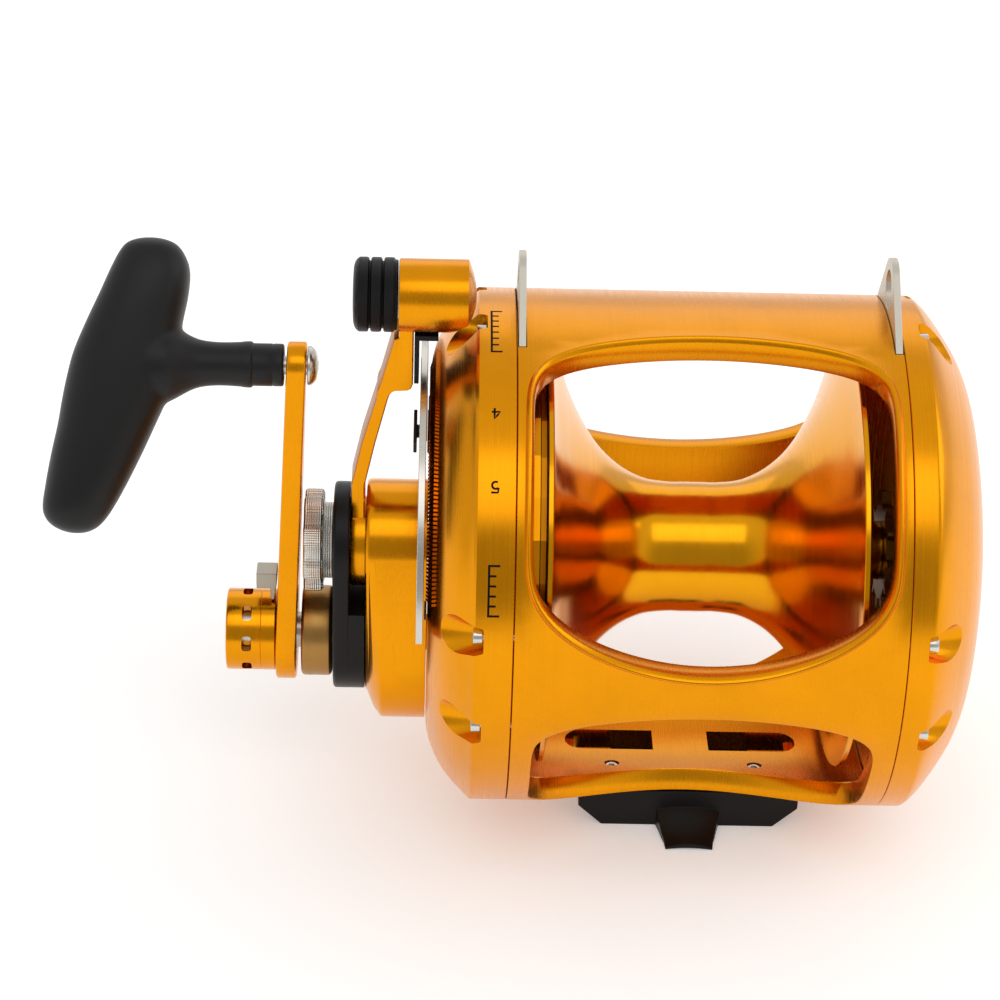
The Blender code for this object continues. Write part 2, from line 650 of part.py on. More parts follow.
# ---------------------------------------------------------------- handle train
hs = revolve("handle_shaft", [(-135.2, 0), (-135.2, HSHAFT_R - 0.5), (-134.7, HSHAFT_R), (-65.4, HSHAFT_R), (-65.4, 0)], 32, 0.0, HZ, False)
finish(hs, STEEL)
high = prism_x("high_gear", gear_outline(T_HIGH, 0, HZ, math.pi / 2 + math.pi / T_HIGH), -81.2, -75.3)
boolean(high, cyl_x("c", HSHAFT_R + GAP, -90.0, -60.0, 32, 0.0, HZ))
finish(high, BRONZE)
low = prism_x("low_gear", gear_outline(T_LOW, 0, HZ, math.pi / 2 + math.pi / T_LOW), -73.6, -67.0)
boolean(low, cyl_x("c", HSHAFT_R + RUN, -90.0, -60.0, 32, 0.0, HZ))
finish(low, BRONZE)

RAT_N, RAT_R0, RAT_R1 = 24, 12.0, 14.0
DOG_TIP = (7.9, HZ + 12.7)
TIP_DIR = math.atan2(DOG_TIP[1] - HZ, DOG_TIP[0])
ratchet = []
for i in range(RAT_N):
    a = TIP_DIR + 2 * math.pi * i / RAT_N
    for r, d in ((RAT_R0, -0.075), (RAT_R0, 0.075), (RAT_R1, 0.105), (RAT_R1, 0.157)):
        ratchet.append((r * math.cos(a + d), HZ + r * math.sin(a + d)))
wheel = prism_x("ratchet_wheel", ratchet, -99.9, -96.3)
boolean(wheel, cyl_x("c", HSHAFT_R + GAP, -110.0, -90.0, 32, 0.0, HZ))
finish(wheel, GEARSTEEL)

# the dog: an eye on its pin, an arm over the wheel, and a short hook that drops between two teeth
ry, rz = math.cos(TIP_DIR), math.sin(TIP_DIR)
elbow = (DOG_TIP[0] + 1.0 * ry, DOG_TIP[1] + 1.0 * rz)
uy, uz = elbow[0] - DOG_P[0], elbow[1] - DOG_P[1]
ul = math.hypot(uy, uz)
uy, uz = uy / ul, uz / ul
start = math.atan2(uz, uy)
ring = []
for i in range(11):
    b = start - math.radians(60 + 240 * i / 10)
    ring.append((DOG_P[0] + 3.0 * math.cos(b), DOG_P[1] + 3.0 * math.sin(b)))
# along the wheel side of the arm, round the hook, and back over the top
ny, nz = -uz, uy
ring += [
    (elbow[0] - 1.6 * uy + 0.5 * ny, elbow[1] - 1.6 * uz + 0.5 * nz),
    (DOG_TIP[0] - 0.5 * ry - 0.5 * uy, DOG_TIP[1] - 0.5 * rz - 0.5 * uz),
    (DOG_TIP[0] - 0.5 * ry + 0.5 * uy, DOG_TIP[1] - 0.5 * rz + 0.5 * uz),
    (elbow[0] + 0.5 * uy - 0.5 * ny, elbow[1] + 0.5 * uz - 0.5 * nz),
]
dog = prism_x("antireverse_dog", ring, -99.7, -96.5)
boolean(dog, cyl_x("c", 1.8, -103.4, -98.0, 16, *DOG_P), "UNION")
finish(dog, GEARSTEEL)

finish(revolve("handle_collar", [(-128.6, HSHAFT_R + GAP), (-128.6, 14.2), (-127.9, 15.1), (-119.6, 15.1), (-118.7, 14.3), (-118.5, 13.0), (-118.5, HSHAFT_R + GAP)], 28, 0.0, HZ), BRONZE)

ARM_N = 32


def arm_outline(n, shrink):
    """The hub's arc, then the tip's arc, as (y, z, is_tip). The hub is level and the arm leans in from it."""
    pts = []
    for i in range(n):
        a = 2 * math.pi * (i + 0.5) / n - math.pi / 2
        tip = math.sin(a) * ARM_L + (7.6 - 16.3) > 0
        r, cz = (7.6 - shrink, HZ + ARM_L) if tip else (16.3 - shrink, HZ)
        pts.append((r * math.cos(a), cz + r * math.sin(a), tip))
    return pts


def build_arm(name, n, levels):
    """levels are (x at the hub, x at the tip, how much smaller the outline is)."""
    verts, faces = [], []
    for x_hub, x_tip, shrink in levels:
        for y, z, tip in arm_outline(n, shrink):
            k = max(0.0, (z - HZ - 2.0) / (ARM_L - 2.0))
            verts.append((x_hub + (x_tip - x_hub) * (k if tip else 0.0), y, z))
    for k in range(len(levels) - 1):
        for i in range(n):
            j = (i + 1) % n
            faces.append([k * n + i, k * n + j, (k + 1) * n + j, (k + 1) * n + i])
    tips = [i for i, p in enumerate(arm_outline(n, 0.0)) if p[2]]
    hubs = list(range(tips[-1] + 1, n)) + list(range(0, tips[0]))
    for base in (0, (len(levels) - 1) * n):
        faces.append([base + i for i in hubs])
        faces.append([base + i for i in tips])
        faces.append([base + i for i in (hubs[-1], tips[0], tips[-1], hubs[0])])
    return new_obj(name, verts, faces)


arm = build_arm("handle_arm", ARM_N, [(-137.0, -133.0, 0.6), (-136.4, -132.4, 0.0), (-131.0, -127.4, 0.0), (-130.4, -126.8, 0.6)])
boolean(arm, cyl_x("c", HSHAFT_R + GAP, -140.0, -125.0, 32, 0.0, HZ))
boolean(arm, cyl_x("c", 3.4, -140.0, -120.0, 20, 0.0, HZ + ARM_L))
finish(arm, GOLD)

CAP_R = 13.6
cap = revolve("handle_cap", [(-137.3, 9.6), (-137.3, CAP_R), (-153.1, CAP_R), (-153.6, 13.1), (-153.6, 10.0), (-153.6, 7.6), (-151.0, 7.6), (-151.0, 9.6)], 32, 0.0, HZ)
slots = []
for i in range(8):
    a = math.radians(22.5 + 45.0 * i + 33.0 + 22.5)
    ey, ez = math.cos(a), math.sin(a)
    ty, tz = -ez, ey
    rows = []
    for x, w in ((-148.1, 2.0), (-147.5, 2.6), (-145.9, 2.6), (-145.3, 2.0)):
        rows.append([(x, u * ey + v * w * ty, HZ + u * ez + v * w * tz) for u, v in ((8.0, -1), (16.0, -1), (16.0, 1), (8.0, 1))])
    slots.append(loft("c", rows))
boolean(cap, join(slots))
finish(cap, GOLD)
finish(revolve("shift_button", [(-153.4, 0), (-153.1, 5.0), (-152.3, 7.3), (-150.0, 7.3), (-150.0, 9.2), (-143.6, 9.2), (-143.6, 0)], 28, 0.0, HZ, False), STEEL)

# sliding lock beside the cap: a thin plate on the arm with an upstand
lock = [(-137.5, HZ + 14.2), (-139.0, HZ + 14.2), (-139.0, HZ + 18.6), (-143.6, HZ + 18.6), (-143.6, HZ + 24.4), (-136.6, HZ + 24.4), (-136.6, HZ + 21.4)]
slope = [(x - 0.18, z) if x > -138 else (x, z) for x, z in lock]
finish(prism_y("lock_tab", slope, -3.6, 3.6), STEEL)

bolt = revolve("grip_bolt", [(-126.3, 0), (-126.3, 6.1), (-125.6, 6.35), (-124.4, 5.6), (-123.4, 4.0), (-122.8, 0)], 20, 0.0, HZ + ARM_L, False)
boolean(bolt, cyl_x("c", 3.0, -146.0, -125.0, 20, 0.0, HZ + ARM_L), "UNION")
finish(bolt, STEEL)

# ---------------------------------------------------------------- grip
GZ = HZ + ARM_L


def grip_point(x, t, w):
    """x along the spindle, t along the bar, w towards the front, turned back by GRIP_TURN about the spindle."""
    s, c = math.sin(GRIP_TURN), math.cos(GRIP_TURN)
    return (x, t * s - w * c, GZ + t * c + w * s)


# (height along the bar, outer edge, inner edge, half depth)
BAR = [
    (39.6, -179.6, -174.0, 2.6), (38.2, -184.0, -169.4, 6.6), (35.2, -186.6, -166.4, 9.4), (29.5, -189.4, -164.2, 11.6), (21.5, -192.8, -164.6, 12.9), (13.0, -196.6, -166.2, 13.4),
    (3.5, -200.4, -167.4, 13.6), (-4.0, -202.3, -168.6, 13.6), (-12.0, -203.8, -171.0, 13.5), (-20.0, -205.0, -174.4, 13.3), (-30.0, -207.0, -178.8, 12.8), (-40.0, -208.6, -183.6, 12.0),
    (-47.0, -209.3, -187.4, 10.6), (-51.0, -207.6, -190.2, 8.4), (-53.4, -204.2, -193.0, 5.6), (-54.6, -200.4, -196.4, 2.2),
]
rows = []
for t, xo, xi, d in BAR:
    cx, hw = (xo + xi) / 2, (xi - xo) / 2
    ring = []
    for i in range(16):
        a = 2 * math.pi * i / 16
        ca, sa = math.cos(a), math.sin(a)
        p = 2.3
        k = (abs(ca) ** p + abs(sa) ** p) ** (-1 / p)
        ring.append(grip_point(cx + hw * ca * k, t, d * sa * k))
    rows.append(ring)
grip = loft("grip", rows)
STEM = [(-133.9, 6.8), (-143.8, 6.8), (-144.0, 7.4), (-156.0, 7.0), (-161.5, 7.9), (-165.0, 9.6), (-169.0, 12.0), (-176.0, 12.2)]
rows = []
for x, r in STEM:
    rows.append([grip_point(x, r * math.cos(2 * math.pi * i / 20), r * math.sin(2 * math.pi * i / 20)) for i in range(20)])
boolean(grip, loft("c", rows), "UNION")
boolean(grip, cyl_x("c", 3.0 + RUN, -147.0, -130.0, 20, 0.0, GZ))
finish(grip, RUBBER, 40)

# ---------------------------------------------------------------- drag lever
lever = revolve("drag_lever", [(-112.4, SHAFT_R + RUN), (-112.4, 14.2), (-111.8, 14.8), (-107.6, 14.8), (-107.6, 8.8), (-101.6, 8.8), (-101.6, SHAFT_R + RUN)], 28)


def lev(x, r, w):
    """A point on the lever: r out along its direction, w across it."""
    ey, ez = polar(1.0, LEV_ANGLE)
    return (x, r * ey - w * ez, r * ez + w * ey)


ARM_PATH = [
    (-112.2, -107.9, 10.0, 6.4), (-112.2, -107.9, 26.0, 6.4), (-108.9, -104.6, 42.0, 6.1), (-104.3, -100.2, 60.2, 5.9), (-104.0, -98.6, 61.4, 5.9), (-103.7, -93.6, 62.3, 5.9),
    (-103.0, -92.8, 64.6, 6.0), (-98.9, -92.8, 81.0, 6.5), (-97.5, -92.8, 81.9, 6.5), (-97.0, -92.8, 88.0, 6.6),
]
rows = []
for x0, x1, r, w in ARM_PATH:
    rows.append([lev(x0, r, -w + 1.0), lev(x0 + 1.0, r, -w), lev(x1, r, -w), lev(x1, r, w), lev(x0 + 1.0, r, w), lev(x0, r, w - 1.0)])
arm2 = loft("c", rows)
boolean(lever, arm2, "UNION")
boolean(lever, cyl_x("c", SHAFT_R + RUN, -120.0, -95.0, 32))
ky, kz = polar(LEV_R, LEV_ANGLE)
slug = revolve("c", [(-97.6, 0), (-97.6, 11.1), (-97.2, 11.5), (-75.9, 11.5), (-74.6, 8.0), (-73.5, 3.5), (-73.3, 0)], 28, ky, kz, False)
# the underside of its inner end is cut on a slant
sl = []
for u, v in ((-86.75, -14.0), (-60.0, -14.0), (-60.0, -1.8), (-73.0, -1.8)):
    sl.append((u, v))
cutter = loft("c", [[lev(u, LEV_R + v, -16.0) for u, v in sl], [lev(u, LEV_R + v, 16.0) for u, v in sl]])
boolean(slug, cutter)
boolean(lever, slug, "UNION")
finish(lever, GOLD)

KNOB = [(-97.9, 0), (-97.9, 11.2)]
for i in range(3):
    x = -99.2 - 4.0 * i
    KNOB += [(x, 11.7), (x - 3.3, 11.7), (x - 3.6, 10.8)]
KNOB = KNOB[:-1] + [(-111.9, 9.0), (-111.9, 0)]
finish(revolve("lever_knob", KNOB, 28, ky, kz, False), BLACK)
# an angle: one leg runs over the quadrant plate, the other under the knob's cylinder
angle = [(-92.5, 64.4), (-91.0, 64.4), (-91.0, 80.2), (-85.0, 80.2), (-85.0, 82.0), (-92.5, 82.0)]
finish(loft("lever_slider", [[lev(x, r, w) for x, r in angle] for w in (-5.2, 5.2)]), BLACK)

# ---------------------------------------------------------------- preset knob and cam follower
LOBES = 8
STAR_TURN = math.radians(8.5)
star = []
for i in range(LOBES * 6):
    a = 2 * math.pi * i / (LOBES * 6)
    k = 15.8 + 1.0 * max(-1.0, min(1.0, 1.8 * math.cos(a * LOBES)))
    star.append((k * math.cos(a + STAR_TURN), k * math.sin(a + STAR_TURN)))
knob = loft("preset_knob", [[(-127.7, y * 0.95, z * 0.95) for y, z in star], [(-127.0, y, z) for y, z in star], [(-122.0, y, z) for y, z in star], [(-121.3, y * 0.95, z * 0.95) for y, z in star]])
boolean(knob, cyl_x("c", 12.5, -124.0, -118.3, 36), "UNION")
boolean(knob, cyl_x("c", SHAFT_R + RUN, -124.0, -110.0, 32))
finish(knob, STEEL)
finish(ring_x("cam_follower", SHAFT_R + RUN, 12.0, -99.8, -95.0, 32), GEARSTEEL)
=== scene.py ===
"""Trolling reel: the looks of each piece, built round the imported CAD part."""
import json
import math

import bmesh
import bpy
from mathutils import Matrix, Vector, geometry


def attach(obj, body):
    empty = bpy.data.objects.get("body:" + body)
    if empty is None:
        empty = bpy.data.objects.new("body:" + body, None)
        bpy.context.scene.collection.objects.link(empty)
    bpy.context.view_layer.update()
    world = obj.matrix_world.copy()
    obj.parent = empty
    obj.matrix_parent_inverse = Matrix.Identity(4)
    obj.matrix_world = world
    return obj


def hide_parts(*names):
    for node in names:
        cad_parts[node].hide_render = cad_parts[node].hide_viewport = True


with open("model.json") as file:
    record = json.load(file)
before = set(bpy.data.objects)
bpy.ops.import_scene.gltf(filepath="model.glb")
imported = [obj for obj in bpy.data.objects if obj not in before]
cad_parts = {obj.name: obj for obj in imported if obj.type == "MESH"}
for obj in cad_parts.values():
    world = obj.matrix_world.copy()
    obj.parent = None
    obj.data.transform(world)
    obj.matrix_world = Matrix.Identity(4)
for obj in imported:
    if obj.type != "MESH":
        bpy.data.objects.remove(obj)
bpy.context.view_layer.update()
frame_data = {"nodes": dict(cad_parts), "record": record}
NODE_BODY = {}
for body_name, members in (frame_data["record"].get("behaviour") or {}).get("bodies", {}).items():
    for member in members:
        NODE_BODY[member] = body_name

MM = 0.001
AXIS_H = 94.3  # height of the spool axis over the underside of the foot

# frame
FR_R, FR_RI, FR_X = 84.0, 76.5, 60.2
WIN_X = 55.2
FR_SEG = 144
LIP_H = 1.3
# side plates
PL_X = 60.5
BOLT_R, BOLT_HEAD_R, BOLT_SHANK_R = 79.6, 2.75, 1.45
POCKET_R = 4.0
POCKET_FLARE = 0.277
BOLT_ANGLES = (11.9, -11.9, 89.0, 112.4, 180.0, 203.4, -78.3, -101.7)
PL_SEG = 40
# gear train
HZ = -36.0  # handle axis below the spool axis: 30 teeth at module 1.2 on each pair
MODULE = 1.2
T_HIGH, T_HIGH_P = 40, 20
T_LOW, T_LOW_P = 34, 26
BACKLASH = 0.42
SHAFT_R, HSHAFT_R = 5.0, 6.0
RUN = 0.08  # radial clearance of a running fit
GAP = 0.3
# handle
ARM_L = 101.8
# grip stands turned back about its spindle
GRIP_TURN = math.radians(33.0)
# drag lever
LEV_ANGLE = 88.0
LEV_R = 93.8



D_FLOOR, C_FLOOR = 69.6, 66.4
CL_ANGLE = 213.0
CL_R = 50.0
Q0, Q1 = -90.4, -88.2
STOP_T, STOP_R0, STOP_R1 = 70.5, 54.0, 60.0
def polar(r, deg):
    """(y, z) of a point at radius r and angle deg round the spool axis."""
    a = math.radians(deg)
    return -r * math.cos(a), r * math.sin(a)


def new_obj(name, verts, faces):
    me = bpy.data.meshes.new(name)
    me.from_pydata([(x * MM, y * MM, (z + AXIS_H) * MM) for x, y, z in verts], [], faces)
    obj = bpy.data.objects.new(name, me)
    bpy.context.scene.collection.objects.link(obj)
    bm = bmesh.new()
    bm.from_mesh(me)
    bmesh.ops.recalc_face_normals(bm, faces=bm.faces)
    bm.to_mesh(me)
    bm.free()
    return obj


def boolean(obj, cutter, op="DIFFERENCE"):
    """Applies one exact Boolean and removes the cutter."""
    cutter.hide_render = True
    cutter.display_type = "WIRE"
    m = obj.modifiers.new("cut", "BOOLEAN")
    m.operation = op
    m.solver = "EXACT"
    m.object = cutter
    bpy.context.view_layer.update()
    graph = bpy.context.evaluated_depsgraph_get()
    me = bpy.data.meshes.new_from_object(obj.evaluated_get(graph))
    obj.modifiers.clear()
    old = obj.data
    obj.data = me
    bpy.data.meshes.remove(old)
    bpy.data.objects.remove(cutter, do_unlink=True)
    return obj


def join(objs):
    """One object from several separate closed cutters."""
    bm = bmesh.new()
    for o in objs:
        bm.from_mesh(o.data)
    me = bpy.data.meshes.new("cutters")
    bm.to_mesh(me)
    bm.free()
    out = bpy.data.objects.new("cutters", me)
    bpy.context.scene.collection.objects.link(out)
    for o in objs:
        bpy.data.objects.remove(o, do_unlink=True)
    return out


def revolve(name, profile, n, cy=0.0, cz=0.0, closed=True, turn=0.0):
    """Turns (x, r) points round an axis along X through (cy, cz). An open profile starts and ends on the axis."""
    verts, rows = [], []
    for x, r in profile:
        if r < 1e-6:
            rows.append([len(verts)] * n)
            verts.append((x, cy, cz))
        else:
            rows.append(list(range(len(verts), len(verts) + n)))
            for i in range(n):
                a = 2 * math.pi * (i + turn) / n
                verts.append((x, cy + r * math.cos(a), cz + r * math.sin(a)))
    faces = []
    last = len(profile) if closed else len(profile) - 1
    for k in range(last):
        a, b = rows[k], rows[(k + 1) % len(profile)]
        for i in range(n):
            j = (i + 1) % n
            f = [a[i], a[j], b[j], b[i]]
            f = [v for m, v in enumerate(f) if v != f[m - 1]]
            if len(f) > 2:
                faces.append(f)
    return new_obj(name, verts, faces)


def cyl_x(name, r, x0, x1, n, cy=0.0, cz=0.0, turn=0.0):
    return revolve(name, [(x0, 0), (x0, r), (x1, r), (x1, 0)], n, cy, cz, False, turn)


def ring_x(name, r0, r1, x0, x1, n, cy=0.0, cz=0.0, c=0.0):
    """A ring, with chamfers c on its outer edges."""
    if c:
        p = [(x0, r0), (x0, r1 - c), (x0 + c, r1), (x1 - c, r1), (x1, r1 - c), (x1, r0)]
    else:
        p = [(x0, r0), (x0, r1), (x1, r1), (x1, r0)]
    return revolve(name, p, n, cy, cz)


def loft(name, sections):
    """Sections are (points), each a list of the same number of (x, y, z)."""
    verts, faces = [], []
    n = len(sections[0])
    for s in sections:
        verts += s
    for k in range(len(sections) - 1):
        for i in range(n):
            j = (i + 1) % n
            faces.append([k * n + i, k * n + j, (k + 1) * n + j, (k + 1) * n + i])
    faces.append(list(range(n))[::-1])
    faces.append([(len(sections) - 1) * n + i for i in range(n)])
    return new_obj(name, verts, faces)


def prism_x(name, outline, x0, x1):
    return loft(name, [[(x0, y, z) for y, z in outline], [(x1, y, z) for y, z in outline]])


def prism_y(name, outline, y0, y1):
    return loft(name, [[(x, y0, z) for x, z in outline], [(x, y1, z) for x, z in outline]])


def box(name, x0, x1, y0, y1, z0, z1):
    return prism_y(name, [(x0, z0), (x1, z0), (x1, z1), (x0, z1)], y0, y1)


def cyl_z(name, r, z0, z1, n, x, y):
    ring = [(x + r * math.cos(2 * math.pi * i / n), y + r * math.sin(2 * math.pi * i / n)) for i in range(n)]
    return loft(name, [[(a, b, z0) for a, b in ring], [(a, b, z1) for a, b in ring]])


def hull2(c1, r1, c2, r2, n):
    """Outline of the hull of two circles in (y, z)."""
    out = []
    for i in range(n):
        a = 2 * math.pi * i / n
        d = (math.cos(a), math.sin(a))
        s1 = c1[0] * d[0] + c1[1] * d[1] + r1
        s2 = c2[0] * d[0] + c2[1] * d[1] + r2
        c, r = (c1, r1) if s1 >= s2 else (c2, r2)
        out.append((c[0] + r * d[0], c[1] + r * d[1]))
    return out


def gear_outline(teeth, cy, cz, phase, module=MODULE, backlash=BACKLASH):
    """Straight-flanked teeth. phase is the direction of one tooth's middle, in radians from +Y towards +Z."""
    pr = module * teeth / 2
    half = math.pi / (2 * teeth) - backlash / (2 * pr)
    add, ded = 0.95 * module, 1.25 * module
    tip = half - math.tan(math.radians(20)) * add / pr
    root = half + math.tan(math.radians(20)) * ded / pr
    out = []
    for i in range(teeth):
        a = phase + 2 * math.pi * i / teeth
        for r, d in ((pr - ded, -root), (pr + add, -tip), (pr + add, tip), (pr - ded, root)):
            out.append((cy + r * math.cos(a + d), cz + r * math.sin(a + d)))
    return out


def window(x_half, xc, top_mid, top_k, bot_mid, bot_k, n, power=8.0):
    """Rounded four-sided window in (x, degrees). Top and bottom edges are parabolas along x."""
    pts = []
    for i in range(n):
        t = 2 * math.pi * (i + 0.5) / n
        # even spacing along a superellipse
        c, s = math.cos(t), math.sin(t)
        m = (abs(c) ** power + abs(s) ** power) ** (-1.0 / power)
        u, w = c * m, s * m
        dx = u * x_half
        top = top_mid + top_k * dx * dx
        bot = bot_mid + bot_k * dx * dx
        pts.append((xc + dx, (top + bot) / 2 + w * (top - bot) / 2))
    return pts


def offset(outline, d):
    """Moves an outline in (x, degrees) outwards by d millimetres on the frame's surface."""
    k = math.radians(1) * FR_R
    out = []
    n = len(outline)
    for i in range(n):
        x0, t0 = outline[i - 1]
        x1, t1 = outline[(i + 1) % n]
        tx, tt = x1 - x0, (t1 - t0) * k
        m = math.hypot(tx, tt)
        out.append((outline[i][0] + d * tt / m, outline[i][1] - d * tx / m / k))
    return out


def inside(p, poly):
    x, y = p
    hit = False
    for i in range(len(poly)):
        x0, y0 = poly[i - 1]
        x1, y1 = poly[i]
        if (y0 > y) != (y1 > y) and x < (x1 - x0) * (y - y0) / (y1 - y0) + x0:
            hit = not hit
    return hit


SEAM = 100.0  # where the unrolled sheet meets itself, in the top bar


def sheet(r, holes, half_x, seg, xs):
    """Triangles of the cylinder with holes, as [(x, degrees)], faces. The radius r is not used."""
    squeeze = 0.35
    k = math.radians(1) * FR_R
    pts, edges = [], []
    for h in holes:
        first = len(pts)
        pts += [(x * squeeze, t * k) for x, t in h]
        edges += [(first + i, first + (i + 1) % len(h)) for i in range(len(h))]
    rim = [(-half_x, SEAM - 360.0 * i / seg) for i in range(seg + 1)]
    rim += [(x, SEAM - 360.0) for x in xs]
    rim += [(half_x, SEAM - 360.0 + 360.0 * i / seg) for i in range(seg + 1)]
    rim += [(x, SEAM) for x in reversed(xs)]
    first = len(pts)
    pts += [(x * squeeze, t * k) for x, t in rim]
    edges += [(first + i, first + (i + 1) % len(rim)) for i in range(len(rim))]
    for i in range(1, seg):
        t = SEAM - 360.0 * i / seg
        for x in xs:
            keep = True
            for h in holes:
                if inside((x, t), h) or min(math.hypot((x - a) * 0.5, (t - b) * k) for a, b in h) < 2.6:
                    keep = False
                    break
            if keep:
                pts.append((x * squeeze, t * k))
    vs, _, fs, *_ = geometry.delaunay_2d_cdt([Vector(p) for p in pts], edges, [], 0, 1e-7, False)
    vs = [(v[0] / squeeze, v[1] / k) for v in vs]
    faces = []
    for f in fs:
        c = (sum(vs[i][0] for i in f) / 3, sum(vs[i][1] for i in f) / 3)
        if not any(inside(c, h) for h in holes):
            faces.append(list(f))
    return vs, faces


def build_frame(name):
    n = 176
    w1 = window(WIN_X, 0.0, 82.6, -0.0026, 4.4, 0.0047, n)
    w2 = window(53.4, 0.0, -6.6, -0.0019, -70.3, 0.0068, n)
    w3 = window(53.4, 0.0, -109.7, -0.0068, -163.0, 0.0019, n)
    w4 = window(53.4, 0.0, -174.0, -0.0023, -236.5, 0.0026, n)
    outer_holes, inner_holes, verts, faces = [], [], [], []

    def add(points, fs):
        base = len(verts)
        for x, t, r in points:
            y, z = polar(r, t)
            verts.append((x, y, z))
        for f in fs:
            faces.append([base + i for i in f])

    def strip(levels, outline):
        m = len(outline)
        pts = []
        for d, r in levels:
            pts += [(x, t, r) for x, t in (offset(outline, d) if d else outline)]
        fs = []
        for k in range(len(levels) - 1):
            for i in range(m):
                j = (i + 1) % m
                fs.append([k * m + i, k * m + j, (k + 1) * m + j, (k + 1) * m + i])
        add(pts, fs)

    for w, levels in (
        (w1, [(2.9, FR_R), (2.6, FR_R + 0.1), (2.0, FR_R + 1.0), (1.7, FR_R + 1.25), (1.35, FR_R + 1.25), (1.0, FR_R + 1.0), (0.2, FR_R - 0.05), (0.0, FR_R - 0.6), (0.0, FR_RI + 0.4), (0.3, FR_RI)]),
        (w2, [(0.6, FR_R), (0.18, FR_R - 0.17), (0.0, FR_R - 0.6), (0.0, FR_RI + 0.4), (0.3, FR_RI)]),
        (w3, [(0.6, FR_R), (0.18, FR_R - 0.17), (0.0, FR_R - 0.6), (0.0, FR_RI + 0.4), (0.3, FR_RI)]),
        (w4, [(0.6, FR_R), (0.18, FR_R - 0.17), (0.0, FR_R - 0.6), (0.0, FR_RI + 0.4), (0.3, FR_RI)]),
    ):
        strip(levels, w)
        outer_holes.append(offset(w, levels[0][0]) if levels[0][0] else w)
        inner_holes.append(offset(w, levels[-1][0]))
    xs = [-58.4, -50.0, -40.0, -30.0, -20.0, -10.0, 0.0, 10.0, 20.0, 30.0, 40.0, 50.0, 58.4]
    for r, holes in ((FR_R, outer_holes), (FR_RI, inner_holes)):
        vs, fs = sheet(r, holes, FR_X, FR_SEG, xs)
        add([(x, t, r) for x, t in vs], fs)
    for x in (-FR_X, FR_X):
        pts, fs = [], []
        for i in range(FR_SEG):
            t = SEAM - 360.0 * i / FR_SEG
            pts += [(x, t, FR_R), (x, t, FR_RI)]
            j = (i + 1) % FR_SEG
            fs.append([2 * i, 2 * i + 1, 2 * j + 1, 2 * j])
        add(pts, fs)
    obj = new_obj(name, verts, faces)
    bm = bmesh.new()
    bm.from_mesh(obj.data)
    bmesh.ops.remove_doubles(bm, verts=bm.verts, dist=2e-6)
    bmesh.ops.recalc_face_normals(bm, faces=bm.faces)
    bm.to_mesh(obj.data)
    bm.free()
    return obj


def wedge(name, x0, x1, r0, r1, t0, t1, n=6):
    """A block between two radii and two angles round the spool axis."""
    ring = [polar(r0, t0 + (t1 - t0) * i / n) for i in range(n + 1)]
    ring += [polar(r1, t1 + (t0 - t1) * i / n) for i in range(n + 1)]
    return prism_x(name, ring, x0, x1)


LUG_T0, LUG_T1 = 79.9, 114.0
LUG_Y, LUG_Z, LUG_R, LUG_W = 12.6, 90.8, 10.0, 2.3
FOOT_SCREWS = [(-24.0, -21.3), (24.0, -21.3), (-24.0, 21.3), (24.0, 21.3)]


def lug_outline(n=15):
    """A tongue that tapers from its foot in the frame to the eye's ring."""
    out = [polar(79.5, LUG_T0 + (LUG_T1 - LUG_T0) * i / 16) for i in range(17)]
    base_l, base_r = polar(83.9, LUG_T0), polar(83.9, LUG_T1)

    def tangent(p, side):
        dy, dz = p[0] - LUG_Y, p[1] - LUG_Z
        return math.atan2(dz, dy) + side * math.acos(LUG_R / math.hypot(dy, dz))

    a0, a1 = tangent(base_r, 1), tangent(base_l, -1)
    while a1 < a0:
        a1 += 2 * math.pi
    out.append(base_r)
    for i in range(n):
        a = a0 + (a1 - a0) * i / (n - 1)
        out.append((LUG_Y + LUG_R * math.cos(a), LUG_Z + LUG_R * math.sin(a)))
    out.append(base_l)
    return out


def arm_outline(n, shrink):
    """The hub's arc, then the tip's arc, as (y, z, is_tip). The hub is level and the arm leans in from it."""
    pts = []
    for i in range(n):
        a = 2 * math.pi * (i + 0.5) / n - math.pi / 2
        tip = math.sin(a) * ARM_L + (7.6 - 16.3) > 0
        r, cz = (7.6 - shrink, HZ + ARM_L) if tip else (16.3 - shrink, HZ)
        pts.append((r * math.cos(a), cz + r * math.sin(a), tip))
    return pts


def build_arm(name, n, levels):
    """levels are (x at the hub, x at the tip, how much smaller the outline is)."""
    verts, faces = [], []
    for x_hub, x_tip, shrink in levels:
        for y, z, tip in arm_outline(n, shrink):
            k = max(0.0, (z - HZ - 2.0) / (ARM_L - 2.0))
            verts.append((x_hub + (x_tip - x_hub) * (k if tip else 0.0), y, z))
    for k in range(len(levels) - 1):
        for i in range(n):
            j = (i + 1) % n
            faces.append([k * n + i, k * n + j, (k + 1) * n + j, (k + 1) * n + i])
    tips = [i for i, p in enumerate(arm_outline(n, 0.0)) if p[2]]
    hubs = list(range(tips[-1] + 1, n)) + list(range(0, tips[0]))
    for base in (0, (len(levels) - 1) * n):
        faces.append([base + i for i in hubs])
        faces.append([base + i for i in tips])
        faces.append([base + i for i in (hubs[-1], tips[0], tips[-1], hubs[0])])
    return new_obj(name, verts, faces)




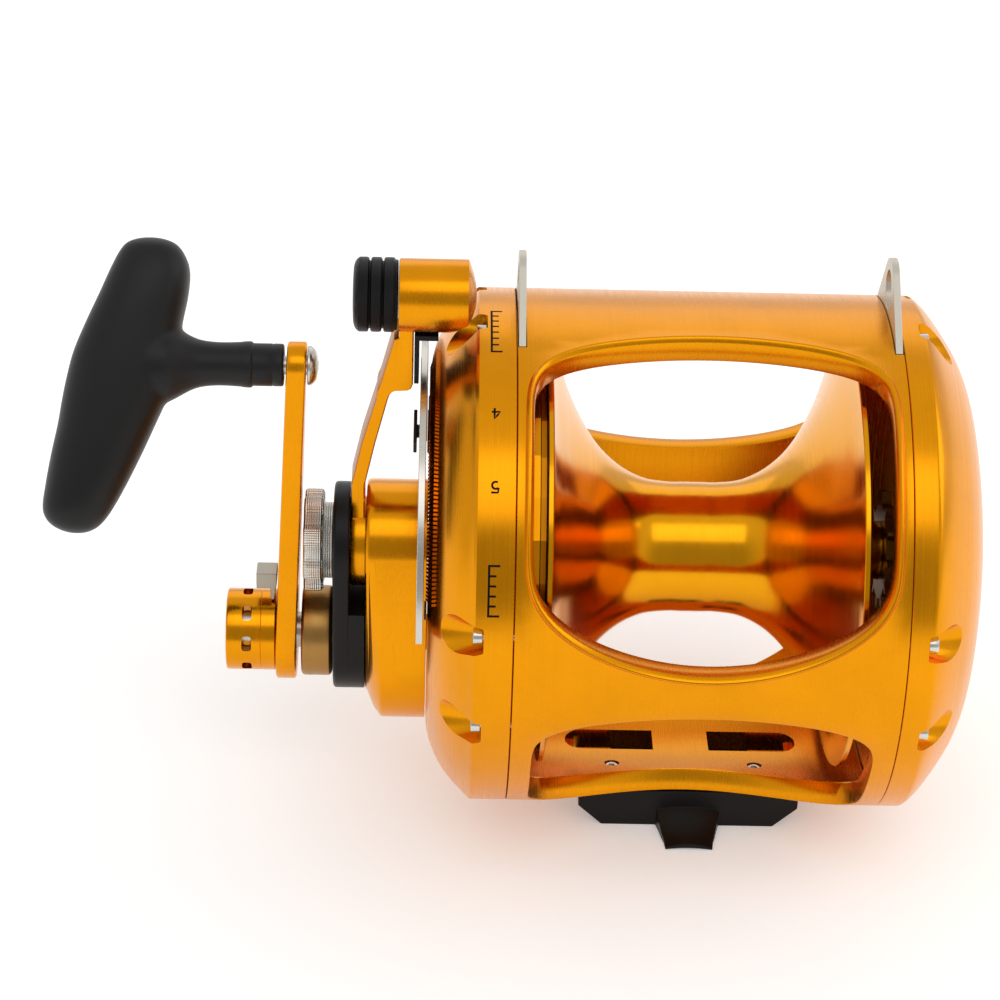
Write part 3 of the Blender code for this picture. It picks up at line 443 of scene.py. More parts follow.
# ---------------------------------------------------------------- materials
class Nodes:
    """Small helper for a material's node tree."""

    def __init__(self, name):
        self.m = bpy.data.materials.new(name)
        self.m.use_nodes = True
        self.t = self.m.node_tree
        self.b = self.t.nodes["Principled BSDF"]

    def add(self, kind, **props):
        n = self.t.nodes.new(kind)
        for k, v in props.items():
            setattr(n, k, v)
        return n

    def link(self, a, b):
        self.t.links.new(a, b)

    def math(self, op, a, b=None):
        n = self.add("ShaderNodeMath", operation=op)
        for i, v in enumerate((a, b)):
            if v is None:
                continue
            if isinstance(v, (int, float)):
                n.inputs[i].default_value = v
            else:
                self.link(v, n.inputs[i])
        return n.outputs[0]

    def coords(self, axis, stretch, across=1.0):
        """A vector that follows tool marks: rings round an X axis, or lines along one axis."""
        tc = self.add("ShaderNodeTexCoord").outputs["Object"]
        if axis is None:
            mp = self.add("ShaderNodeMapping")
            mp.inputs["Scale"].default_value = stretch
            self.link(tc, mp.inputs["Vector"])
            return mp.outputs[0]
        sep = self.add("ShaderNodeSeparateXYZ")
        self.link(tc, sep.inputs[0])
        cy, cz = axis[0] * MM, (axis[1] + AXIS_H) * MM
        y = self.math("SUBTRACT", sep.outputs[1], cy)
        z = self.math("SUBTRACT", sep.outputs[2], cz)
        r = self.math("SQRT", self.math("ADD", self.math("MULTIPLY", y, y), self.math("MULTIPLY", z, z)))
        com = self.add("ShaderNodeCombineXYZ")
        self.link(sep.outputs[0], com.inputs[0])
        self.link(self.math("MULTIPLY", r, across), com.inputs[1])
        return com.outputs[0]

    def noise(self, vec, scale, detail=3.0, rough=0.6):
        n = self.add("ShaderNodeTexNoise")
        n.inputs["Scale"].default_value = scale
        n.inputs["Detail"].default_value = detail
        n.inputs["Roughness"].default_value = rough
        self.link(vec, n.inputs["Vector"])
        return n.outputs["Fac"]

    def ramp(self, fac, a, b, lo=0.3, hi=0.7):
        n = self.add("ShaderNodeValToRGB")
        n.color_ramp.elements[0].position = lo
        n.color_ramp.elements[1].position = hi
        n.color_ramp.elements[0].color = a if isinstance(a, tuple) else (a, a, a, 1)
        n.color_ramp.elements[1].color = b if isinstance(b, tuple) else (b, b, b, 1)
        self.link(fac, n.inputs[0])
        return n.outputs[0]

    def bump(self, height, strength, distance):
        n = self.add("ShaderNodeBump")
        n.inputs["Strength"].default_value = strength
        n.inputs["Distance"].default_value = distance
        self.link(height, n.inputs["Height"])
        return n


def surface(name, colour, metallic, rough, axis=None, stretch=(1, 1, 1), marks=1600.0, mark_depth=0.00002, spread=0.06, mottle=0.9, coat=0.0, knurl=0.0, across=1.0, teeth=60.0, pitch=4000.0, spec=0.5):
    n = Nodes(name)
    plain = n.add("ShaderNodeTexCoord").outputs["Object"]
    lines = n.noise(n.coords(axis, stretch, across), marks)
    cloud = n.noise(plain, 45.0, 4.0)
    dark = tuple(c * mottle for c in colour)
    n.link(n.ramp(cloud, (*dark, 1), (*colour, 1)), n.b.inputs["Base Color"])
    mixed = n.math("ADD", n.math("MULTIPLY", lines, 0.7), n.math("MULTIPLY", cloud, 0.3))
    n.link(n.ramp(mixed, rough - spread, rough + spread), n.b.inputs["Roughness"])
    n.b.inputs["Metallic"].default_value = metallic
    n.b.inputs["Specular IOR Level"].default_value = spec
    height = lines
    strength, distance = 0.35, mark_depth
    last = n.bump(height, strength, distance)
    if knurl:
        sep = n.add("ShaderNodeSeparateXYZ")
        n.link(plain, sep.inputs[0])
        cy, cz = (axis or (0, 0))[0] * MM, ((axis or (0, 0))[1] + AXIS_H) * MM
        ang = n.math("ARCTAN2", n.math("SUBTRACT", sep.outputs[2], cz), n.math("SUBTRACT", sep.outputs[1], cy))
        u = n.math("MULTIPLY", ang, teeth)
        x = n.math("MULTIPLY", sep.outputs[0], pitch)
        a = n.math("SINE", n.math("ADD", u, x))
        c = n.math("SINE", n.math("SUBTRACT", u, x))
        second = n.bump(n.math("MULTIPLY", a, c), 0.6, knurl)
        n.link(second.outputs[0], last.inputs["Normal"])
    n.link(last.outputs[0], n.b.inputs["Normal"])
    if coat:
        n.b.inputs["Coat Weight"].default_value = coat
        n.b.inputs["Coat Roughness"].default_value = 0.12
    return n.m


GOLD_C = (0.84, 0.315, 0.005)
SPOOL_AX, HANDLE_AX = (0.0, 0.0), (0.0, HZ)
LEVER_AX = (-LEV_R * math.cos(math.radians(LEV_ANGLE)), LEV_R * math.sin(math.radians(LEV_ANGLE)))
GOLD = surface("gold_turned", GOLD_C, 1.0, 0.25, SPOOL_AX, mark_depth=0.000008, across=0.4)
GOLD_FRAME = surface("gold_frame", GOLD_C, 1.0, 0.27, SPOOL_AX, marks=1100.0, mark_depth=0.000005, across=0.06, spread=0.04)
GOLD_SPOOL = surface("gold_spool", (0.86, 0.36, 0.007), 1.0, 0.19, SPOOL_AX, marks=1500.0, mark_depth=0.00002, across=0.6)
GOLD_HANDLE = surface("gold_handle_turned", GOLD_C, 1.0, 0.22, HANDLE_AX, mark_depth=0.000008, across=0.4)
GOLD_FLAT = surface("gold_milled", GOLD_C, 1.0, 0.26, None, (1.0, 1.0, 0.03), 2200.0, mark_depth=0.000008)
BLACK = surface("black_anodised", (0.006, 0.005, 0.005), 0.4, 0.34, SPOOL_AX, spread=0.08, spec=0.25)
BLACK_KNURL = surface("black_knurled", (0.006, 0.005, 0.005), 0.4, 0.36, LEVER_AX, spread=0.06, knurl=0.00012, teeth=110.0, pitch=9000.0, spec=0.25)
BLACK_FLAT = surface("black_cast", (0.006, 0.005, 0.005), 0.2, 0.38, None, (1, 1, 1), 1400.0, 0.00003, 0.08, spec=0.25)
# darker gold with painted shade, for the lever arm's outer faces
GOLD_PAINTED_SHADE = surface("gold_painted_shade", (0.40, 0.13, 0.008), 1.0, 0.34, None, (1.0, 1.0, 0.03), 2200.0, mark_depth=0.000008)
# darker gold for the drag washer: painted shade for the inside of the spool's flange
GOLD_WASHER_SHADE = surface("gold_washer_painted_shade", (0.55, 0.20, 0.006), 1.0, 0.34, SPOOL_AX, mark_depth=0.00001)
LUG_STEEL = surface("stainless_satin", (0.62, 0.58, 0.50), 1.0, 0.42, None, (1.0, 0.05, 1.0), 2500.0, 0.00001)
STEEL = surface("stainless_brushed", (0.66, 0.63, 0.57), 1.0, 0.25, None, (1.0, 0.05, 1.0), 2500.0, 0.00001)
DULL_STEEL = surface("stainless_dull", (0.42, 0.38, 0.31), 1.0, 0.36, None, (1.0, 1.0, 0.1), 1800.0, 0.00002)
STEEL_TURNED = surface("stainless_turned", (0.68, 0.66, 0.62), 1.0, 0.22, SPOOL_AX, mark_depth=0.00001)
STEEL_HANDLE = surface("stainless_handle", (0.62, 0.60, 0.55), 1.0, 0.26, HANDLE_AX, mark_depth=0.00001)
STEEL_KNURL = surface("steel_knurled", (0.80, 0.78, 0.72), 1.0, 0.20, SPOOL_AX, knurl=0.0003, teeth=72.0, pitch=4400.0)
BRONZE = surface("bronze_turned", (0.40, 0.215, 0.06), 1.0, 0.34, HANDLE_AX, marks=900.0, mark_depth=0.00005)
RUBBER = surface("grip_moulded", (0.0075, 0.0068, 0.0066), 0.0, 0.44, None, (1, 1, 1), 2600.0, 0.00006, 0.07, 0.8, spec=0.28)
GEARSTEEL = surface("gear_steel", (0.42, 0.42, 0.43), 1.0, 0.34, SPOOL_AX)
CARBON = surface("drag_carbon", (0.03, 0.03, 0.032), 0.0, 0.5, None, (1, 1, 1), 1800.0, 0.00004)
INK = surface("scale_ink", (0.006, 0.003, 0.002), 0.0, 0.6, None, (1, 1, 1), 3000.0, 0.00001, spec=0.1)
DONE = []


def vis(obj, node, material, bevel=0.0, seg=2, angle=38.0, keep_sharp=32.0, body=None):
    """Registers a finished piece: cleans it, gives it its finish, and lets it ride its body."""
    me = obj.data
    bm = bmesh.new()
    bm.from_mesh(me)
    bmesh.ops.remove_doubles(bm, verts=bm.verts, dist=2e-6)
    bmesh.ops.dissolve_degenerate(bm, dist=1e-6, edges=bm.edges)
    bmesh.ops.recalc_face_normals(bm, faces=bm.faces)
    for f in bm.faces:
        f.smooth = True
    for e in bm.edges:
        e.smooth = bool(bevel) or (len(e.link_faces) == 2 and e.calc_face_angle(0.0) < math.radians(keep_sharp))
    bm.to_mesh(me)
    bm.free()
    me.materials.clear()
    me.materials.append(material)
    if bevel:
        m = obj.modifiers.new("edges", "BEVEL")
        m.width = bevel * MM
        m.segments = seg
        m.limit_method = "ANGLE"
        m.angle_limit = math.radians(angle)
        m.harden_normals = True
        m.use_clamp_overlap = True
        m.miter_outer = "MITER_ARC"
    obj.name = "vis_" + node if body is None else node
    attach(obj, NODE_BODY.get(node, "root") if body is None else body)
    if body is None:
        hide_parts(node)
    DONE.append(obj)
    return obj


def catmull(points, k):
    """Points of a smooth curve through the given ones, k pieces to each span."""
    out = []
    n = len(points)
    for i in range(n - 1):
        p0 = points[max(0, i - 1)]
        p1, p2 = points[i], points[i + 1]
        p3 = points[min(n - 1, i + 2)]
        for j in range(k):
            t = j / k
            out.append(tuple(0.5 * ((2 * b) + (c - a) * t + (2 * a - 5 * b + 4 * c - d) * t * t + (3 * b - a - 3 * c + d) * t ** 3) for a, b, c, d in zip(p0, p1, p2, p3)))
    out.append(points[-1])
    return out


def apply_all(obj):
    """Bakes the object's modifiers into its mesh."""
    bpy.context.view_layer.update()
    graph = bpy.context.evaluated_depsgraph_get()
    me = bpy.data.meshes.new_from_object(obj.evaluated_get(graph))
    obj.modifiers.clear()
    obj.data = me
    return obj


def pockets(side, floor, far, n=28):
    """Tapered pockets that open outwards, with a small radius where the wall meets the floor."""
    out = []
    for a in BOLT_ANGLES:
        y, z = polar(BOLT_R, a)
        ey, ez = polar(1.0, a)
        ty, tz = -ez, ey
        rows = []
        for x, d in ((floor, -0.45), (floor + 0.12, -0.16), (floor + 0.45, 0.0), (far, 0.0)):
            r = POCKET_R + POCKET_FLARE * (x - floor) + d
            ring = []
            for i in range(n):
                b = math.radians(180 * i / (n - 1))
                ring.append((side * x, y + r * (ty * math.cos(b) - ey * math.sin(b)), z + r * (tz * math.cos(b) - ez * math.sin(b))))
            for s in (-1.0, 1.0):
                ring.append((side * x, y + 9.0 * ey + s * r * ty, z + 9.0 * ez + s * r * tz))
            rows.append(ring)
        out.append(loft("c", rows))
    return out


def shank_holes(side, floor):
    out = []
    for a in BOLT_ANGLES:
        y, z = polar(BOLT_R, a)
        x0, x1 = sorted((side * (PL_X - 2), side * (floor + 1)))
        out.append(cyl_x("c", BOLT_SHANK_R + GAP, x0, x1, 20, y, z))
    return out


def hex_cut(x0, x1, flat, cy, cz, turn=0.0):
    r = flat / 2 / math.cos(math.pi / 6)
    ring = [(cy + r * math.cos(math.pi * i / 3 + turn), cz + r * math.sin(math.pi * i / 3 + turn)) for i in range(6)]
    return prism_x("c", ring, x0, x1)


def radial_box(name, x0, x1, r0, r1, half, deg):
    ey, ez = polar(1.0, deg)
    ty, tz = -ez, ey
    ring = [(r0 * ey - half * ty, r0 * ez - half * tz), (r1 * ey - half * ty, r1 * ez - half * tz), (r1 * ey + half * ty, r1 * ez + half * tz), (r0 * ey + half * ty, r0 * ez + half * tz)]
    return prism_x(name, ring, x0, x1)


# ---------------------------------------------------------------- frame
frame = build_frame("frame")
cutters = [
    wedge("c", -FR_X - 1, -FR_X + 0.5 + LUG_W, 79.2, 92.0, LUG_T0 - 0.3, LUG_T1 + 0.3, 16),
    wedge("c", FR_X - 0.5 - LUG_W, FR_X + 1, 79.2, 92.0, LUG_T0 - 0.3, LUG_T1 + 0.3, 16),
]
for x, y in FOOT_SCREWS:
    cutters.append(cyl_z("c", 2.5, -90.0, -70.0, 32, x, y))
for s in (-1, 1):
    ring = [(s * 9.4, -10.4), (s * 33.4, -10.4)]
    for i in range(1, 24):
        a = math.radians(-90 + 180 * i / 24)
        ring.append((s * (33.4 + 5.9 * math.cos(a)), -4.5 + 5.9 * math.sin(a)))
    ring += [(s * 33.4, 1.4), (s * 9.4, 1.4)]
    cutters.append(loft("c", [[(x, y, -80.4) for x, y in ring], [(x, y, -70.0) for x, y in ring]]))
boolean(frame, join(cutters))
cutters = []
for s in (-1, 1):
    ring = [(s * 9.4, -10.4), (s * 23.5, -10.4), (s * 23.5, -3.6), (s * 36.0, -3.6), (s * 36.0, 1.4), (s * 9.4, 1.4)]
    cutters.append(loft("c", [[(x, y, -86.0) for x, y in ring], [(x, y, -79.0) for x, y in ring]]))
boolean(frame, join(cutters))
vis(frame, "frame", GOLD_FRAME, keep_sharp=36.0)

for tag, s in (("d", -1), ("c", 1)):
    x0, x1 = sorted((s * (FR_X - 0.2), s * (FR_X - 0.2 - LUG_W)))
    lug = prism_x("lug", lug_outline(48), x0, x1)
    boolean(lug, cyl_x("c", 6.15, x0 - 2, x1 + 2, 96, LUG_Y, LUG_Z))
    vis(lug, "harness_lug_" + tag, LUG_STEEL, 0.35, 3)

# ---------------------------------------------------------------- side plates
D_DOME = [(-72.2, 84.0), (-73.1, 83.2), (-74.4, 81.8), (-78.2, 78.0), (-82.0, 73.0), (-85.0, 66.9), (-86.7, 61.0), (-87.0, 57.0)]
D_OUT = [(-PL_X, 83.75), (-PL_X - 0.25, 84.0), (-71.9, 84.0)] + catmull(D_DOME, 5)
D_IN = [(-87.0, 9.8), (-86.7, 9.5), (-83.6, 9.5), (-83.6, 59.0), (-80.3, 65.5), (-69.0, 70.0), (-PL_X, 75.0)]
C_DOME = [(67.0, 84.0), (69.0, 83.4), (73.0, 79.3), (78.0, 72.5), (82.0, 66.0), (85.3, 58.0), (88.0, 46.0), (89.8, 34.0), (91.1, 16.0), (91.5, 0.0)]
C_OUT = [(PL_X, 83.75), (PL_X + 0.25, 84.0)] + catmull(C_DOME, 5)
C_IN = [(87.0, 0.0), (87.0, SHAFT_R + GAP), (78.0, SHAFT_R + GAP), (78.0, 12.0), (85.6, 16.0), (85.6, 34.0), (83.0, 48.0), (78.5, 60.0), (68.0, 70.5), (PL_X, 75.0)]
plate = revolve("drive_plate", D_OUT + D_IN, 192)
boolean(plate, join(pockets(-1, D_FLOOR, 95.0)))
boolean(plate, join(shank_holes(-1, D_FLOOR)))
boolean(plate, cyl_x("c", 17.0, -95.0, -80.0, 64, 0.0, HZ))
vis(plate, "drive_side_plate", GOLD, 0.3, 2, 34.0)

plate = revolve("clicker_plate", C_IN + C_OUT, 192, closed=False)
boolean(plate, join(pockets(1, C_FLOOR, 95.0)))
boolean(plate, join(shank_holes(1, C_FLOOR)))
boolean(plate, radial_box("c", 75.0, 95.0, CL_R - 3.3 - 4.0, CL_R + 3.3, 3.3, CL_ANGLE))
# a shallow turned ring round the middle of the cover
boolean(plate, ring_x("c", 30.0, 31.0, 89.9, 95.0, 160))
vis(plate, "clicker_side_plate", GOLD, 0.3, 2, 34.0)

for tag, side, floor in (("d", -1, D_FLOOR), ("c", 1, C_FLOOR)):
    for i, a in enumerate(BOLT_ANGLES):
        y, z = polar(BOLT_R, a)
        end = FR_X - 4.6
        if a in (89.0, 112.4):
            end = PL_X + 0.5
        h0, h1 = floor + 0.3, floor + 3.3
        p = [(end, 0), (end, BOLT_SHANK_R), (h0, BOLT_SHANK_R), (h0, BOLT_HEAD_R - 0.1), (h0 + 0.1, BOLT_HEAD_R), (h1 - 0.45, BOLT_HEAD_R), (h1 - 0.12, BOLT_HEAD_R - 0.12), (h1, BOLT_HEAD_R - 0.45), (h1, 0)]
        s = revolve("screw", [(side * u, r) for u, r in p], 32, y, z, False)
        x0, x1 = sorted((side * (h1 - 1.6), side * (h1 + 1)))
        boolean(s, hex_cut(x0, x1, 2.5, y, z, math.radians(17.0 * i)))
        vis(s, f"plate_screw_{tag}{i + 1}", STEEL_TURNED, 0.06, 1)

# fine ribs on the plate's shoulder, under the edge of the quadrant
ribs = []
for i in range(74):
    t = 16.0 + 1.15 * i
    face = [(-87.5, 60.8), (-85.6, 67.4), (-84.6, 66.9), (-86.4, 60.6)]
    ribs.append(loft("c", [[(x, *polar(r, t + d)) for x, r in face] for d in (-0.33, 0.33)]))
vis(join(ribs), "shoulder_ribs", GOLD, 0.0, body="root")

# ---------------------------------------------------------------- numerals and marks of the drag scale
def strokes(name, lines, half):
    """Thin marks on the plate's rim. Each line is a run of (x, degrees) points."""
    verts, faces = [], []
    deg = 1.0 / (math.radians(1) * FR_R)
    for line in lines:
        flat = [(x, t / deg) for x, t in line]
        fine = []
        for (xa, ta), (xb, tb) in zip(flat, flat[1:]):
            m = max(1, int(math.hypot(xb - xa, tb - ta) / 1.2))
            fine += [(xa + (xb - xa) * j / m, ta + (tb - ta) * j / m) for j in range(m)]
        fine.append(flat[-1])
        n = len(fine)
        for i, (x, t) in enumerate(fine):
            a, b = fine[max(0, i - 1)], fine[min(n - 1, i + 1)]
            dx, dt = b[0] - a[0], b[1] - a[1]
            m = math.hypot(dx, dt) or 1.0
            nx, nt = -dt / m * half, dx / m * half
            if i == 0:
                x, t = x - dx / m * half, t - dt / m * half
            if i == n - 1:
                x, t = x + dx / m * half, t + dt / m * half
            for r in (FR_R - 0.15, FR_R + 0.03):
                for sgn in (-1, 1):
                    y, z = polar(r, (t + sgn * nt) * deg)
                    verts.append((x + sgn * nx, y, z))
        base = len(verts) - 4 * n
        for i in range(n - 1):
            p, q = base + 4 * i, base + 4 * (i + 1)
            for u, v in ((0, 1), (1, 3), (3, 2), (2, 0)):
                faces.append([p + u, p + v, q + v, q + u])
        faces.append([base, base + 1, base + 3, base + 2])
        faces.append([base + 4 * (n - 1) + u for u in (0, 2, 3, 1)])
    return new_obj(name, verts, faces)


MX = -66.9


def glyph(points, t_mid, size=1.0):
    """Turned half round, as the scale reads from behind the reel. Points are (right, up) in millimetres."""
    k = 1.0 / (math.radians(1) * FR_R)
    return [(MX - u * size, t_mid - v * size * k) for u, v in points]


lines = [glyph([(0.55, -1.7), (0.55, 1.7), (-1.15, -0.7), (1.1, -0.7)], 61.0)]
five = [(1.0, 1.7), (-0.75, 1.7), (-0.9, 0.25)]
for i in range(9):
    a = math.radians(125 - 235 * i / 8)
    five.append((0.02 + 1.05 * math.cos(a), -0.55 + 1.12 * math.sin(a)))
lines.append(glyph(five, 44.6))
# tick groups at the two ends of the scale
for t0, t1, count in ((78.0, 93.6, 8), (17.6, 28.2, 6)):
    for i in range(count):
        t = t0 + (t1 - t0) * i / (count - 1)
        long = i in (0, count - 1)
        lines.append([(MX - 1.5, t), (MX + (1.5 if long else 0.4), t)])
    lines.append([(MX - 1.5, t0), (MX - 1.5, t1)])
marks = strokes("scale", lines, 0.34)
vis(marks, "drag_scale_marks", INK, body="root")

# ---------------------------------------------------------------- gear housing and cover
SP, HA = (0.0, 0.0), (0.0, HZ)


def section(x, r_up, r_low, n=128):
    return [(x, y, z) for y, z in hull2(SP, r_up, HA, r_low, n)]


H_ROWS = [(-107.3, 19.5, 18.4), (-107.15, 19.95, 19.0), (-106.6, 20.35, 20.0), (-106.0, 20.55, 21.4), (-104.4, 20.6, 25.2), (-102.3, 20.6, 28.0), (-101.8, 20.6, 28.45), (-101.2, 20.6, 28.6), (-87.3, 20.6, 28.6)]
housing = loft("housing", [section(*r) for r in H_ROWS])
boolean(housing, loft("c", [section(-101.0, 17.2, 25.2), section(-80.0, 17.2, 25.2)]))
boolean(housing, cyl_x("c", 9.1, -110.0, -95.0, 64))
boolean(housing, cyl_x("c", 11.3, -110.0, -95.0, 64, 0.0, HZ))
boolean(housing, cyl_x("c", 1.8 + RUN, -103.8, -95.0, 24, 17.0, HZ + 8.0))
vis(housing, "gear_housing", GOLD_HANDLE, keep_sharp=28.0)

cover = loft("cover", [section(-118.0, 18.2, 17.8), section(-117.85, 18.85, 18.45), section(-117.4, 19.35, 18.95), section(-116.9, 19.5, 19.1), section(-113.0, 19.5, 19.1), section(-112.7, 19.2, 18.8)])
block = [(19.08 * math.cos(math.pi + math.pi * i / 48), HZ + 19.08 * math.sin(math.pi + math.pi * i / 48)) for i in range(49)]
block += [(19.08, -17.0), (-19.08, -17.0)]
boolean(cover, prism_x("c", block, -113.5, -107.6), "UNION")
boolean(cover, cyl_x("c", SHAFT_R + 0.6, -125.0, -105.0, 64))
boolean(cover, cyl_x("c", HSHAFT_R + 0.6, -125.0, -105.0, 64, 0.0, HZ))
vis(cover, "gear_cover", BLACK_FLAT, keep_sharp=34.0)

# ---------------------------------------------------------------- quadrant
sy, sz = polar((STOP_R0 + STOP_R1) / 2, STOP_T)
quad = wedge("quad", Q0, Q1, 52.0, 69.0, 5.5, 172.0, 110)
boolean(quad, cyl_x("c", 2.1 + RUN, -95.0, -85.0, 32, sy, sz))
vis(quad, "quadrant_plate", STEEL, 0.25, 2)
for i, a in enumerate((11.5, 160.0)):
    y, z = polar(58.5, a)
    vis(cyl_x("post", 3.0, Q1 + GAP, -87.3, 40, y, z), f"quadrant_post_{i + 1}", BLACK_FLAT, 0.1, 1)
stop = wedge("stop", Q1 + GAP, -87.3, STOP_R0, STOP_R1, STOP_T - 6.5, STOP_T + 6.5, 16)
boolean(stop, cyl_x("c", 2.5, -92.0, -85.0, 32, sy, sz))
vis(stop, "strike_stop", BLACK_FLAT, 0.12, 1)
button = wedge("button", -92.3, -91.2, STOP_R0, STOP_R1, STOP_T - 6.5, STOP_T + 6.5, 16)
boolean(button, cyl_x("c", 2.1, -91.8, -88.6, 32, sy, sz), "UNION")
vis(button, "strike_button", BLACK_FLAT, 0.3, 3)

# ---------------------------------------------------------------- foot
prof = [(-35.0, -80.0), (-35.0, -86.6), (-27.0, -94.3), (31.0, -94.3), (39.0, -86.6), (39.0, -80.0)]
foot = prism_y("foot", prof[::-1], -28.0, 28.0)
boolean(foot, cyl_x("c", FR_R + GAP, -60.0, 60.0, 256))
for s in (-1, 1):
    rows = []
    for y, half, top, arch in ((22.0, 12.0, -84.6, 0.0), (26.0, 11.5, -85.6, 0.0), (28.5, 10.6, -86.6, 0.0), (32.0, 9.7, -88.6, 0.0), (35.0, 9.1, -90.2, 0.15), (38.0, 8.3, -91.3, 0.35), (41.3, 7.9, -92.0, 0.7)):
        ring = [(2 - half, -94.3)]
        for i in range(1, 8):
            u = -1 + i / 4
            ring.append((2 + half * u, -94.3 + arch * (1 - u * u)))
        ring.append((2 + half, -94.3))
        for i in range(13):
            u = 1 - i / 6
            ring.append((2 + half * u, top - 1.5 * u * u))
        rows.append([(x, s * y, z) for x, z in ring])
    boolean(foot, loft("c", rows), "UNION")
boolean(foot, join([cyl_z("c", 2.5, -88.9, -70.0, 32, x, y) for x, y in FOOT_SCREWS]))
vis(foot, "reel_foot", BLACK_FLAT, 0.7, 3, 30.0)
for i, (x, y) in enumerate(FOOT_SCREWS):
    top = -math.sqrt(FR_RI**2 - y * y) - 0.5
    s = cyl_z("fscrew", 2.2, -88.6, top - 0.6, 32, x, y)
    boolean(s, loft("c", [[(x + 1.25 * math.cos(math.pi * j / 3), y + 1.25 * math.sin(math.pi * j / 3), z) for j in range(6)] for z in (top - 2.2, top + 1)]))
    vis(s, f"foot_screw_{i + 1}", STEEL_TURNED, 0.12, 1)

# ---------------------------------------------------------------- spool
S_L = [(-48.5, 71.1), (-47.6, 67.0), (-45.3, 59.5), (-40.4, 47.0), (-33.4, 34.8), (-25.5, 27.0), (-17.0, 22.6), (-9.0, 21.4), (-4.0, 21.4)]
S_R = [(3.0, 21.4), (7.8, 21.4), (15.8, 22.6), (24.3, 27.0), (32.2, 34.8), (39.2, 47.0), (44.1, 59.5), (46.4, 67.0), (47.3, 71.1)]
outer = [(-50.4, 71.1), (-50.1, 71.4), (-48.8, 71.4)] + catmull(S_L, 6) + catmull(S_R, 6) + [(47.6, 71.4), (48.9, 71.4), (49.2, 71.1)]
inner = [
    (49.2, 66.0), (43.0, 46.0), (36.0, 33.0), (30.6, 26.8), (30.6, 9.6), (61.4, 9.6), (61.4, SHAFT_R + 0.6), (30.0, SHAFT_R + 0.6), (30.0, 11.3), (23.6, 11.3), (23.6, 9.0),
    (18.0, 9.0), (18.0, 17.4), (-18.0, 17.4), (-18.0, 9.0), (-24.2, 9.0), (-24.2, 11.3), (-30.6, 11.3), (-30.6, 26.0), (-38.5, 34.0), (-43.4, 42.0), (-50.4, 42.0),
]
vis(revolve("spool_body", outer + inner, 192), "spool", GOLD_SPOOL, keep_sharp=30.0)

shaft = revolve("sshaft", [(-123.0, 0), (-123.0, SHAFT_R - 0.6), (-122.4, SHAFT_R), (86.4, SHAFT_R), (86.4, 0)], 64, closed=False)
vis(shaft, "spool_shaft", STEEL_TURNED, keep_sharp=40.0)

# ---------------------------------------------------------------- clicker
flat = [(20.9, -0.8), (26.0, -0.8), (27.0, -3.0), (CL_R + 3.0, -3.0), (CL_R + 3.0, 3.0), (27.0, 3.0), (26.0, 0.8), (20.9, 0.8)]
ey, ez = polar(1.0, CL_ANGLE)
clicker = prism_x("clk", [(r * ey - w * ez, r * ez + w * ey) for r, w in flat], 61.9, 64.5)
boolean(clicker, radial_box("c", 64.0, 90.2, CL_R - 2.9, CL_R + 2.9, 2.9, CL_ANGLE), "UNION")
# grip grooves across its button
for j in range(3):
    boolean(clicker, radial_box("c", 89.6, 92.0, CL_R - 1.9 + 1.6 * j - 0.3, CL_R - 1.9 + 1.6 * j + 0.3, 4.0, CL_ANGLE))
vis(clicker, "clicker_slide", BLACK_FLAT, 0.25, 2)

# ---------------------------------------------------------------- handle
hs = revolve("hshaft", [(-135.2, 0), (-135.2, HSHAFT_R - 0.5), (-134.7, HSHAFT_R), (-65.4, HSHAFT_R), (-65.4, 0)], 64, 0.0, HZ, False)
vis(hs, "handle_shaft", STEEL_HANDLE, keep_sharp=40.0)
collar = [(-128.6, HSHAFT_R + GAP), (-128.6, 14.1), (-128.45, 14.55), (-128.0, 14.95), (-127.5, 15.1), (-120.0, 15.1), (-119.4, 15.0), (-118.8, 14.5), (-118.55, 13.8), (-118.5, 13.0), (-118.5, HSHAFT_R + GAP)]
vis(revolve("collar", collar, 128, 0.0, HZ), "handle_collar", BRONZE, keep_sharp=26.0)

arm = build_arm("arm", 120, [(-137.0, -133.0, 0.7), (-136.75, -132.75, 0.22), (-136.3, -132.3, 0.0), (-131.1, -127.5, 0.0), (-130.65, -127.05, 0.22), (-130.4, -126.8, 0.7)])
boolean(arm, cyl_x("c", HSHAFT_R + GAP, -140.0, -125.0, 64, 0.0, HZ))
boolean(arm, cyl_x("c", 3.4, -140.0, -120.0, 48, 0.0, HZ + ARM_L))
vis(arm, "handle_arm", GOLD_FLAT, keep_sharp=30.0)

CAP_R = 13.6
cap_profile = [
    (-137.3, 9.6), (-137.3, CAP_R - 0.25), (-137.5, CAP_R), (-141.9, CAP_R), (-142.05, CAP_R - 0.12), (-142.2, CAP_R), (-152.9, CAP_R), (-153.25, CAP_R - 0.1), (-153.5, CAP_R - 0.35), (-153.6, CAP_R - 0.7),
    (-153.6, 11.2), (-153.3, 11.0), (-153.3, 10.4), (-153.6, 10.2), (-153.6, 7.8), (-153.4, 7.6), (-151.0, 7.6), (-151.0, 9.6),
]
cap = revolve("cap", cap_profile, 128, 0.0, HZ)
slots = []
for i in range(8):
    a = math.radians(22.5 + 45.0 * i + 33.0 + 22.5)
    ey, ez = math.cos(a), math.sin(a)
    ty, tz = -ez, ey
    rows = []
    for x, w in ((-148.3, 1.5), (-148.15, 2.1), (-147.8, 2.5), (-147.3, 2.65), (-146.1, 2.65), (-145.6, 2.5), (-145.25, 2.1), (-145.1, 1.5)):
        rows.append([(x, u * ey + v * w * ty, HZ + u * ez + v * w * tz) for u, v in ((8.0, -1), (16.0, -1), (16.0, 1), (8.0, 1))])
    slots.append(loft("c", rows))
boolean(cap, join(slots))
vis(cap, "handle_cap", GOLD_HANDLE, keep_sharp=26.0)
